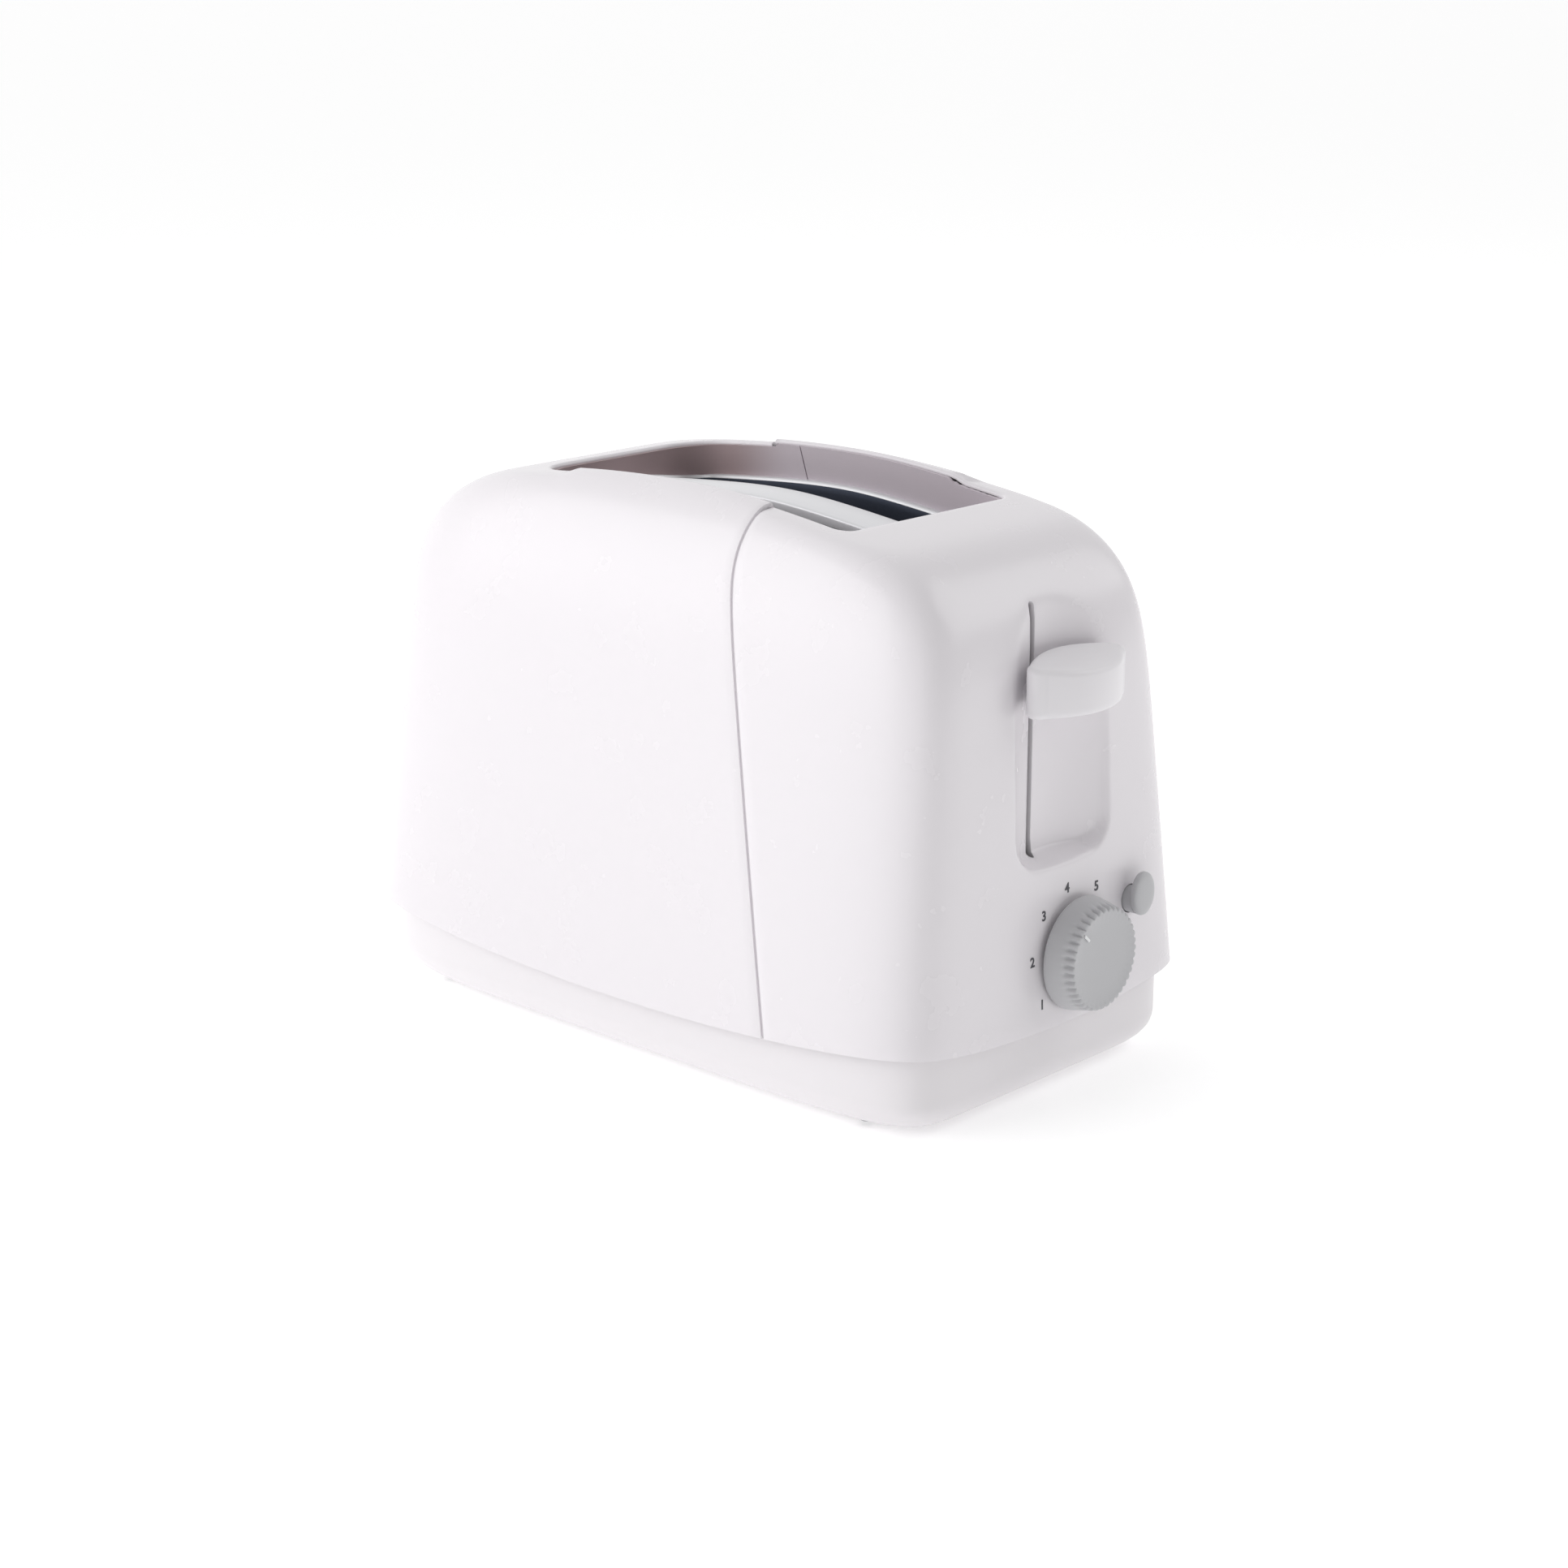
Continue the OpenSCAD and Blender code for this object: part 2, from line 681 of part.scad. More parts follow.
rear_shell();
control_shell();
base_tray();
well_lining();
slot_plate();
front_plate();
rear_plate();
reflector(-1);  // reflector_near
reflector(1);  // reflector_far
heater_board(-heater_y);  // heater_near
heater_board(heater_y);  // heater_far
heater_board(0);  // heater_centre
winding(-heater_y);  // winding_near
winding(heater_y);  // winding_far
winding(0);  // winding_centre
guide(-slot_y - guide_gap);  // guide_near_outer
guide(-slot_y + guide_gap);  // guide_near_inner
guide(slot_y - guide_gap);  // guide_far_inner
guide(slot_y + guide_gap);  // guide_far_outer
rack(-slot_y);  // rack_near
rack(slot_y);  // rack_far
carriage();
carriage_bush();
guide_rod();
lift_spring();
lever_arm();
lever_knob();
latch_armature();
magnet_core();
magnet_coil();
control_board();
potentiometer();
dial_shaft();
dial();
cancel_button();
cancel_switch();
mains_switch();
crumb_tray();
cord_inlet();
feet();
base_screws();
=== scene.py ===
"""Looks for a two-slot pop-up toaster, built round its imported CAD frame."""

import math

import bmesh
import bpy
import numpy as np
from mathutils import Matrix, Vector
from mathutils.geometry import delaunay_2d_cdt


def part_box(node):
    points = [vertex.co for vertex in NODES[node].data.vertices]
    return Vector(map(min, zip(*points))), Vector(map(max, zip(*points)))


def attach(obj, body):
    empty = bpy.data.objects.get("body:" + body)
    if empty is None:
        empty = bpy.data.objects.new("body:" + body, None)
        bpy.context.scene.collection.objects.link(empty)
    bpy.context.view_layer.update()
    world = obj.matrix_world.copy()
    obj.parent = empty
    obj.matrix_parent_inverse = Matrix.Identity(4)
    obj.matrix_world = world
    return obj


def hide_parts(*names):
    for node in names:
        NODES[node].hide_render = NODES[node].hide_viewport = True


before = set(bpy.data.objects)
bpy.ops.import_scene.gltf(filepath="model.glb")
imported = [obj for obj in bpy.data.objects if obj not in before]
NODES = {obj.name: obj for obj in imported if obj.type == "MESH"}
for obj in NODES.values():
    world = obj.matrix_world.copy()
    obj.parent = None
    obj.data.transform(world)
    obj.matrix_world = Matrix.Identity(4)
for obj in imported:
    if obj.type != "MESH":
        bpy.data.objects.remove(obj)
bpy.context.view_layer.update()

MM = 0.001

# ---------------------------------------------------------------- casing numbers, mm
# The same rounded, tapered form as the CAD casing. Heights are from the casing's own zero, and
# X is from the middle of its length.
base_low, base_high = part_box("base_tray")
CASING_X = (base_low.x + base_high.x) / 2 / MM
CASING_L, CASING_W = 260.0, 156.4
DIAL_Y, DIAL_Z = 9.0, 42.5
dial_low, dial_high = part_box("dial")
CASING_Z = (dial_low.z + dial_high.z) / 2 / MM - DIAL_Z
BASE_LOW = base_low.z / MM - CASING_Z
RIM_H, CROWN_H, EDGE_H = 187.5, 195.2, 27.2
PX, PY, PZ, PS = 4.8, 12.0, 11.34, 0.29      # powers of the plan, the height and the shoulder
END_TAPER, SIDE_TAPER = 0.05, 0.13
SAG_SIDE, SAG_END = 8.2, 7.4                 # how far the lower edge dips at mid side and mid end
ARCH_FLAT, ARCH_SLOPE, ARCH_SLOPE_REAR, ARCH_BLEND = 30.0, 0.15, 0.1, 2.5
TOP_OVER_ARCH = 0.4
MOULDING_T = 2.2             # thickness of the casing's skin
SEAM_GAP = 1.3
OPEN_L, OPEN_W = 145.0, 81.6
OPEN_R, OPEN_R_REAR = 5.0, 18.0
RIM_ROLL = 1.0
RIM_LIP = 0.5                # straight stretch below the rolled rim
PAD_RISE = 1.5               # the raised rim: its height, ends and fades
PAD_Y_END, PAD_Y_FADE = 55, 11
PAD_REAR_X, PAD_REAR_FADE = -51, 5
PAD_FRONT_X, PAD_FRONT_FADE = 54, 6
SCOOP_R, SCOOP_X, SCOOP_Y = 41.1, 159.0, 4.0
SCOOP_LOW, SCOOP_LEFT, SCOOP_RIGHT, SCOOP_CORNER = 73.5, -22.0, 30.0, 12.0
ARM_Y = -4.0
INLET_Y, INLET_Z, INLET_R = -32.0, 42.0, 5.6
BUTTON_Y, BUTTON_Z, STEM_Z = 38.8, 56.0, 53.2


def arch(x):
    slope = np.where(x < 0, ARCH_SLOPE_REAR, ARCH_SLOPE)
    return RIM_H - slope * (np.sqrt(ARCH_FLAT ** 2 + x * x) - ARCH_FLAT)


def soft_min(a, b, k):
    return (a + b - np.sqrt((a - b) ** 2 + k * k)) / 2


def ramp(v):
    v = np.clip(v, 0, 1)
    return v * v * (3 - 2 * v)


def raised_rim(x, y, half):
    """The raised rim along the long arm of each half of the casing."""
    fade = ramp((PAD_Y_END - np.abs(y)) / PAD_Y_FADE)
    if half == "rear":
        return PAD_RISE * fade * ramp((x - PAD_REAR_X) / PAD_REAR_FADE) * (y < 0)
    return PAD_RISE * fade * ramp((PAD_FRONT_X - x) / PAD_FRONT_FADE) * (y > 0)


def casing_point(fx, fy, level, half):
    """A point of the casing's surface from its plan direction and level, as arrays."""
    z = EDGE_H + level * (CROWN_H - EDGE_H)
    spread = np.power(np.clip(1 - np.power(level, PZ), 0, 1), 1 / PS)
    x = (CASING_L / 2 - END_TAPER * (z - EDGE_H)) * np.power(spread, 1 / PX) * fx
    y = (CASING_W / 2 - SIDE_TAPER * (z - EDGE_H)) * np.power(spread, 1 / PY) * fy
    sag = SAG_SIDE * (1 - fx * fx) + SAG_END * (1 - fy * fy)
    top = arch(x) + TOP_OVER_ARCH + raised_rim(x, y, half)
    return x, y, soft_min(z, top, ARCH_BLEND) - sag * (1 - level) ** 3


def across(f, power, other):
    """The other coordinate of the unit outline for one coordinate f."""
    return np.power(np.clip(1 - np.power(np.abs(f), power), 0, 1), 1 / other)


def panel_x(y, z):
    """How far out the control end's surface is at (y, z), by halving."""
    y, z = np.asarray(y, float), np.asarray(z, float)
    low, high = np.zeros_like(z), np.full_like(z, 0.93)
    for _ in range(44):
        level = (low + high) / 2
        zz = EDGE_H + level * (CROWN_H - EDGE_H)
        spread = np.power(1 - np.power(level, PZ), 1 / PS)
        half_w = (CASING_W / 2 - SIDE_TAPER * (zz - EDGE_H)) * np.power(spread, 1 / PY)
        fy = np.clip(y / half_w, -0.999, 0.999)
        fx = across(fy, PY, PX)
        x, _, zr = casing_point(fx, fy, level, "control")
        under = zr < z
        low, high = np.where(under, level, low), np.where(under, high, level)
    return x


SEAM_FOOT, SEAM_LEAN, SEAM_BEND_Z, SEAM_SOFT = 76.0, 0.2189, 169.0, 5.0
NEAR_BEND, FAR_BEND = 0.409, 0.0668


def seam_bend(z):
    return SEAM_SOFT * np.logaddexp(0, (z - SEAM_BEND_Z) / SEAM_SOFT)


def near_seam_x(z):
    """Where the near joint line runs: it leans to the rear, then bends forward at the shoulder."""
    return SEAM_FOOT - SEAM_LEAN * z + NEAR_BEND * seam_bend(z)


def far_seam_x(z):
    """The far joint line leans the other way."""
    return SEAM_LEAN * z - SEAM_FOOT + FAR_BEND * seam_bend(z)


# ---------------------------------------------------------------- mesh helpers
def new_object(name, points, faces, smooth=True):
    """A mesh object from points in millimetres, measured from the casing's own zero."""
    mesh = bpy.data.meshes.new(name)
    pts = np.asarray(points, float).copy()
    pts += [CASING_X, 0, CASING_Z]
    mesh.from_pydata((pts * MM).tolist(), [], [tuple(f) for f in faces])
    mesh.validate()
    mesh.update()
    bm = bmesh.new()
    bm.from_mesh(mesh)
    bmesh.ops.remove_doubles(bm, verts=bm.verts, dist=1e-7)
    bmesh.ops.recalc_face_normals(bm, faces=bm.faces)
    bm.to_mesh(mesh)
    bm.free()
    mesh.polygons.foreach_set("use_smooth", [smooth] * len(mesh.polygons))
    obj = bpy.data.objects.new(name, mesh)
    bpy.context.scene.collection.objects.link(obj)
    return obj


def grid_faces(rows, cols, first=0, closed=False):
    """Quads of a grid whose points run along a row first."""
    out = []
    for r in range(rows - 1):
        for c in range(cols if closed else cols - 1):
            a, b = first + r * cols + c, first + r * cols + (c + 1) % cols
            out.append((a, b, b + cols, a + cols))
    return out


def apply_modifiers(obj):
    """Turns the object's modifiers into mesh."""
    bpy.context.view_layer.update()
    depsgraph = bpy.context.evaluated_depsgraph_get()
    mesh = bpy.data.meshes.new_from_object(obj.evaluated_get(depsgraph))
    obj.modifiers.clear()
    obj.data = mesh
    return obj


def solidify(obj, thickness, side=-1):
    mod = obj.modifiers.new("wall", "SOLIDIFY")
    mod.thickness = thickness * MM
    mod.offset = side
    mod.use_even_offset = True
    mod.use_quality_normals = True


def bevel(obj, width, segments=3, angle=40, profile=0.5):
    mod = obj.modifiers.new("edge", "BEVEL")
    mod.width = width * MM
    mod.segments = segments
    mod.limit_method = "ANGLE"
    mod.angle_limit = math.radians(angle)
    mod.profile = profile
    mod.harden_normals = False


def finish_piece(obj, body, material, node=(), smooth_angle=35):
    apply_modifiers(obj)
    if smooth_angle:
        obj.data.polygons.foreach_set("use_smooth", [True] * len(obj.data.polygons))
        obj.data.set_sharp_from_angle(angle=math.radians(smooth_angle))
    obj.data.materials.clear()
    obj.data.materials.append(material)
    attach(obj, body)
    if node:
        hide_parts(*([node] if isinstance(node, str) else node))
    return obj


def rounded_rect(half_l, half_w, radius, count, rear_radius=None):
    """Points and outward normals round a rounded rectangle, counter-clockwise."""
    pts, normals = [], []
    rear = radius if rear_radius is None else rear_radius
    corners = [(1, 1, 0, radius), (-1, 1, 90, rear), (-1, -1, 180, rear), (1, -1, 270, radius)]
    for place, (sx, sy, start, rad) in enumerate(corners):
        for k in range(9):
            a = math.radians(start + 90 * k / 8)
            pts.append((sx * (half_l - rad) + rad * math.cos(a), sy * (half_w - rad) + rad * math.sin(a)))
            normals.append((math.cos(a), math.sin(a)))
        a0 = math.radians(start + 90)
        nx, ny, _, nr = corners[(place + 1) % 4]
        end = (nx * (half_l - nr) + nr * math.cos(a0), ny * (half_w - nr) + nr * math.sin(a0))
        begin = pts[-1]
        for k in range(1, count):
            t = k / count
            pts.append((begin[0] + (end[0] - begin[0]) * t, begin[1] + (end[1] - begin[1]) * t))
            normals.append((math.cos(a0), math.sin(a0)))
    return np.array(pts), np.array(normals)


def rect_distance(x, y, half_l, half_w, radius, rear_radius=None):
    """Signed distance to a rounded rectangle, and its gradient."""
    if rear_radius is not None:
        radius = np.where(x < 0, rear_radius, radius)
    qx, qy = np.abs(x) - (half_l - radius), np.abs(y) - (half_w - radius)
    ox, oy = np.maximum(qx, 0), np.maximum(qy, 0)
    outside = np.hypot(ox, oy)
    inside = np.minimum(np.maximum(qx, qy), 0)
    d = outside + inside - radius
    safe = np.where(outside > 1e-9, outside, 1)
    gx = np.where(outside > 1e-9, ox / safe, (qx >= qy).astype(float)) * np.sign(x)
    gy = np.where(outside > 1e-9, oy / safe, (qx < qy).astype(float)) * np.sign(y)
    return d, gx, gy


def inside_polygon(points, loop):
    """Which of the points lie inside a closed loop."""
    x, y = np.asarray(points)[:, 0], np.asarray(points)[:, 1]
    hit = np.zeros(len(x), bool)
    for (x1, y1), (x2, y2) in zip(loop, np.roll(loop, -1, axis=0)):
        if y1 != y2:
            hit ^= ((y1 > y) != (y2 > y)) & (x < (x2 - x1) * (y - y1) / (y2 - y1) + x1)
    return hit


def triangulate(outer, holes, interior):
    """Triangles over a flat region with holes, and the source index of each point.

    The source counts the outer loop first, then the holes, then the interior points.
    """
    pts, edges, loops = [], [], []
    for loop in [outer] + list(holes):
        first = len(pts)
        pts.extend(loop)
        n = len(loop)
        edges.extend((first + i, first + (i + 1) % n) for i in range(n))
        loops.append(np.array(loop))
    pts.extend(interior)
    verts, _, faces, origin, _, _ = delaunay_2d_cdt([Vector(p) for p in pts], edges, [], 0, 1e-6)
    out_pts = [tuple(v) for v in verts]
    source = [o[0] if o else -1 for o in origin]
    flat = np.array(out_pts)
    centres = np.array([flat[list(f)].mean(axis=0) for f in faces])
    keep = inside_polygon(centres, loops[0])
    for hole in loops[1:]:
        keep &= ~inside_polygon(centres, hole)
    return out_pts, source, [tuple(f) for f, k in zip(faces, keep) if k]


# ---------------------------------------------------------------- casing halves
def spaced(count, power):
    """Values from 0 to 1 that crowd towards 1."""
    return 1 - (1 - np.linspace(0, 1, count)) ** power


SIDE_END = 0.955
END_CUT = float(across(SIDE_END, PX, PY))


def half_directions(half, level):
    """Plan directions of one half at each level, from its near joint line to its far one."""
    toward = -1.0 if half == "rear" else 1.0
    gap = -SEAM_GAP / 2 if half == "rear" else SEAM_GAP / 2

    def line_f(seam, y_sign):
        z = EDGE_H + level * (CROWN_H - EDGE_H)
        f = np.zeros_like(level)
        for _ in range(12):
            spread = np.power(np.clip(1 - np.power(level, PZ), 1e-9, 1), 1 / PS)
            zz = EDGE_H + level * (CROWN_H - EDGE_H)
            reach = (CASING_L / 2 - END_TAPER * (zz - EDGE_H)) * np.power(spread, 1 / PX)
            f = np.clip((seam(z) + gap) / reach, -0.94, 0.94)
            z = casing_point(f, y_sign * across(f, PX, PY), level, half)[2]
        return f

    near, far = line_f(near_seam_x, -1), line_f(far_seam_x, 1)
    long_side = 52 if half == "rear" else 22
    short_side = 22 if half == "rear" else 52
    columns = []
    for t in spaced(long_side, 1.35):
        fx = near + (toward * SIDE_END - near) * t
        columns.append((fx, -across(fx, PX, PY)))
    end = np.concatenate([-spaced(34, 1.25)[::-1], spaced(34, 1.25)[1:]]) * END_CUT
    for fy in end[1:-1]:
        f = np.full_like(level, fy)
        columns.append((toward * across(f, PY, PX), f))
    for t in spaced(short_side, 1.35)[::-1]:
        fx = far + (toward * SIDE_END - far) * t
        columns.append((fx, across(fx, PX, PY)))
    return columns


def rim_levels(half, count):
    """The level at which each column of the casing meets the start of the rim's roll."""
    low, high = np.full(count, 0.5), np.full(count, 0.9999)
    each = np.arange(count)
    for _ in range(40):
        mid = (low + high) / 2
        directions = np.array(half_directions(half, mid))
        x, y, _ = casing_point(directions[each, 0, each], directions[each, 1, each], mid, half)
        d = rect_distance(x, y, OPEN_L / 2, OPEN_W / 2, OPEN_R, OPEN_R_REAR)[0]
        out = d > RIM_ROLL
        low, high = np.where(out, mid, low), np.where(out, high, mid)
    return low


RIM_EDGES = []


def casing_grid(half, rings=58):
    """Points of one half's outer surface and rolled rim, as rows of columns."""
    t = spaced(rings, 1.5)
    count = len(half_directions(half, np.array([0.0])))
    tops = rim_levels(half, count)
    pts = np.zeros((rings, count, 3))
    for c in range(count):
        level = tops[c] * t
        fx, fy = half_directions(half, level)[c]
        pts[:, c, :] = np.stack(casing_point(fx, fy, level, half), axis=1)
    last = pts[-1]
    _, gx, gy = rect_distance(last[:, 0], last[:, 1], OPEN_L / 2, OPEN_W / 2, OPEN_R, OPEN_R_REAR)
    rows = [pts[k] for k in range(rings)]
    for a in np.radians([25, 50, 75, 90]):
        inward, drop = RIM_ROLL * math.sin(a), RIM_ROLL * (1 - math.cos(a))
        rows.append(np.stack([last[:, 0] - gx * inward, last[:, 1] - gy * inward, last[:, 2] - drop],
                             axis=1))
    wall = rows[-1].copy()
    wall[:, 2] -= RIM_LIP
    rows.append(wall)
    RIM_EDGES.append(wall)
    return np.array(rows)


RECESS_HALF_Z = 48.0           # the outline's half height, which runs out above the lever
RECESS_OPEN_Z = 140            # above this height the lower corners no longer matter
RECESS_EDGE, RECESS_CLIMB, RECESS_SOFT = 2.6, 3.2, 1.1
RECESS_LIP = 1.5               # softness where the recess meets the panel


def recess_x(y, z):
    """The control end's surface with the thumb recess sunk into it."""
    panel = panel_x(y, z)
    reach = np.clip(SCOOP_R ** 2 - (y - SCOOP_Y) ** 2, 1, None)
    floor = SCOOP_X - np.sqrt(reach)
    mid_y, half_y = (SCOOP_LEFT + SCOOP_RIGHT) / 2, (SCOOP_RIGHT - SCOOP_LEFT) / 2
    mid_z = SCOOP_LOW + RECESS_HALF_Z
    d = rect_distance(y - mid_y, z - mid_z, half_y, RECESS_HALF_Z, SCOOP_CORNER)[0]
    d = np.where(z > RECESS_OPEN_Z, -20.0, d)
    climb = (d + RECESS_EDGE) * RECESS_CLIMB
    floor = floor + np.logaddexp(0, climb / RECESS_SOFT) * RECESS_SOFT
    return soft_min(panel, floor, RECESS_LIP)


SLOT_HALF_W, SLOT_TOP = 1.5, 157.4
SLOT_FOOT_R, SLOT_FOOT_SHIFT, SLOT_FOOT_Z = 1.8, 0.3, 77.2


def slot_outline():
    """The lever slot: narrow, round at both ends and a little wider at the foot."""
    pts = []
    for k in range(9):
        a = math.radians(180 * k / 8)
        pts.append((ARM_Y + SLOT_HALF_W * math.cos(a), SLOT_TOP + SLOT_HALF_W * math.sin(a)))
    for z in np.arange(154, 80, -2.5):
        pts.append((ARM_Y - SLOT_HALF_W, float(z)))
    for k in range(9):
        a = math.radians(180 + 180 * k / 8)
        pts.append((ARM_Y + SLOT_FOOT_SHIFT + SLOT_FOOT_R * math.cos(a),
                    SLOT_FOOT_Z + SLOT_FOOT_R * math.sin(a)))
    for z in np.arange(81.5, 156, 2.5):
        pts.append((ARM_Y + SLOT_HALF_W, float(z)))
    return pts


def circle(y, z, r, count):
    return [(y + r * math.cos(2 * math.pi * k / count), z + r * math.sin(2 * math.pi * k / count))
            for k in range(count)]


def casing_half(half):
    grid = casing_grid(half)
    rows, cols = grid.shape[:2]
    pts = grid.reshape(-1, 3).tolist()
    faces = grid_faces(rows, cols)
    if half == "control":
        faces, pts = cut_in_panel(grid, faces, pts)
    return new_object(half + "_shell_moulding", pts, faces)


PATCH_Y, PATCH_Z = (-44, 56), (31.5, 166)     # the part of the end that gets the finer patch
PATCH_MIN_X = 122
SHAFT_HOLE_R, STEM_HOLE_R = 4.5, 4.9


def cut_in_panel(grid, faces, pts):
    """Replaces a block of the control end by a finer patch with the recess, slot and holes."""
    rows, cols = grid.shape[:2]
    inner = [c for c in range(cols)
             if grid[0, c, 0] > PATCH_MIN_X and PATCH_Y[0] < grid[0, c, 1] < PATCH_Y[1]]
    c0, c1 = inner[0], inner[-1]
    zs = grid[:, (c0 + c1) // 2, 2]
    r0 = int(np.argmax(zs > PATCH_Z[0]))
    r1 = int(np.argmax(zs > PATCH_Z[1]))
    gone = set()
    for r in range(r0, r1):
        for c in range(c0, c1):
            gone.add((r * cols + c, r * cols + c + 1))
    kept = [f for f in faces if (f[0], f[1]) not in gone]
    loop = [r0 * cols + c for c in range(c0, c1)]
    loop += [r * cols + c1 for r in range(r0, r1)]
    loop += [r1 * cols + c for c in range(c1, c0, -1)]
    loop += [r * cols + c0 for r in range(r1, r0, -1)]
    outer = [(pts[i][1], pts[i][2]) for i in loop]
    holes = [slot_outline(), circle(DIAL_Y, DIAL_Z, SHAFT_HOLE_R, 24),
             circle(BUTTON_Y, STEM_Z, STEM_HOLE_R, 28)]
    fine = np.empty((0, 2))
    z_values = np.concatenate([np.arange(34, 70, 2.2), np.arange(70, 82, 0.55), np.arange(82, 165, 1.5)])
    outer_loop = np.array(outer)
    for z in z_values:
        inner_zone = 70 < z < 163
        y_values = np.arange(-26, 34, 1.0) if inner_zone else np.arange(-26, 34, 2.4)
        side = np.concatenate([np.arange(-44, -26, 2.4), np.arange(34, 56, 2.4)])
        y = np.concatenate([side, y_values])
        free = (np.abs(y - ARM_Y) > 2.2) | (z < 74.6) | (z > 160)
        free &= np.hypot(y - DIAL_Y, z - DIAL_Z) > SHAFT_HOLE_R + 0.9
        free &= np.hypot(y - BUTTON_Y, z - STEM_Z) > STEM_HOLE_R + 0.9
        free &= np.min(np.hypot(outer_loop[:, 0:1] - y, outer_loop[:, 1:2] - z), axis=0) > 1.6
        row = np.column_stack([y, np.full(len(y), z)])[free]
        fine = np.concatenate([fine, row[inside_polygon(row, outer_loop)]])
    flat, source, tris = triangulate(outer, holes, fine.tolist())
    yz = np.array(flat)
    x = recess_x(yz[:, 0], yz[:, 1])
    index = []
    for i, s in enumerate(source):
        if 0 <= s < len(loop):
            index.append(loop[s])
        else:
            index.append(len(pts))
            pts.append([float(x[i]), float(yz[i, 0]), float(yz[i, 1])])
    kept += [tuple(index[i] for i in f) for f in tris]
    return kept, pts


# ---------------------------------------------------------------- materials
def principled(name, color, roughness, metallic=0.0, **sockets):
    mat = bpy.data.materials.new(name)
    mat.use_nodes = True
    shader = mat.node_tree.nodes["Principled BSDF"]
    shader.inputs["Base Color"].default_value = (*color, 1)
    shader.inputs["Roughness"].default_value = roughness
    shader.inputs["Metallic"].default_value = metallic
    for key, value in sockets.items():
        shader.inputs[key.replace("_", " ")].default_value = value
    return mat, mat.node_tree, shader


def object_coordinates(tree, scale=(1, 1, 1)):
    coord = tree.nodes.new("ShaderNodeTexCoord")
    mapping = tree.nodes.new("ShaderNodeMapping")
    mapping.inputs["Scale"].default_value = scale
    tree.links.new(coord.outputs["Object"], mapping.inputs["Vector"])
    return mapping.outputs["Vector"]


def noise(tree, vector, scale, detail=3.0, roughness=0.5):
    node = tree.nodes.new("ShaderNodeTexNoise")
    node.inputs["Scale"].default_value = scale
    node.inputs["Detail"].default_value = detail
    node.inputs["Roughness"].default_value = roughness
    tree.links.new(vector, node.inputs["Vector"])
    return node.outputs["Fac"]


def ranged(tree, value, low, high):
    node = tree.nodes.new("ShaderNodeMapRange")
    node.inputs["To Min"].default_value = low
    node.inputs["To Max"].default_value = high
    tree.links.new(value, node.inputs["Value"])
    return node.outputs["Result"]


def mixed(tree, factor, a, b):
    node = tree.nodes.new("ShaderNodeMix")
    node.data_type = "RGBA"
    node.inputs["A"].default_value = (*a, 1)
    node.inputs["B"].default_value = (*b, 1)
    tree.links.new(factor, node.inputs["Factor"])
    return node.outputs["Result"]


def bump(tree, shader, height, strength, distance):
    node = tree.nodes.new("ShaderNodeBump")
    node.inputs["Strength"].default_value = strength
    node.inputs["Distance"].default_value = distance
    tree.links.new(height, node.inputs["Height"])
    tree.links.new(node.outputs["Normal"], shader.inputs["Normal"])


def plastic(name, color, roughness, grain=900, grain_strength=0.012, shift=0.004, **sockets):
    """Moulded plastic: a faint cloud in the colour, uneven gloss and a fine skin."""
    mat, tree, shader = principled(name, color, roughness, **sockets)
    vector = object_coordinates(tree)
    cloud = noise(tree, vector, 22, 2)
    darker = tuple(max(0.0, c - shift) for c in color)
    tree.links.new(mixed(tree, cloud, color, darker), shader.inputs["Base Color"])
    gloss = noise(tree, vector, 60, 4)
    tree.links.new(ranged(tree, gloss, roughness - 0.015, roughness + 0.015), shader.inputs["Roughness"])
    bump(tree, shader, noise(tree, vector, grain, 2), grain_strength, 0.0002)
    return mat


def brushed_metal(name, color, roughness, along=(6, 900, 900), strength=0.06, shift=0.05, metallic=1.0):
    """Sheet metal with fine lines along one axis and patches of duller finish."""
    mat, tree, shader = principled(name, color, roughness, metallic)
    lines = noise(tree, object_coordinates(tree, along), 1.0, 4)
    patches = noise(tree, object_coordinates(tree), 28, 3)
    darker = tuple(max(0.0, c - shift) for c in color)
    tree.links.new(mixed(tree, patches, color, darker), shader.inputs["Base Color"])
    tree.links.new(ranged(tree, lines, roughness - 0.06, roughness + 0.08), shader.inputs["Roughness"])
    bump(tree, shader, lines, strength, 0.0002)
    return mat


MAT = {}


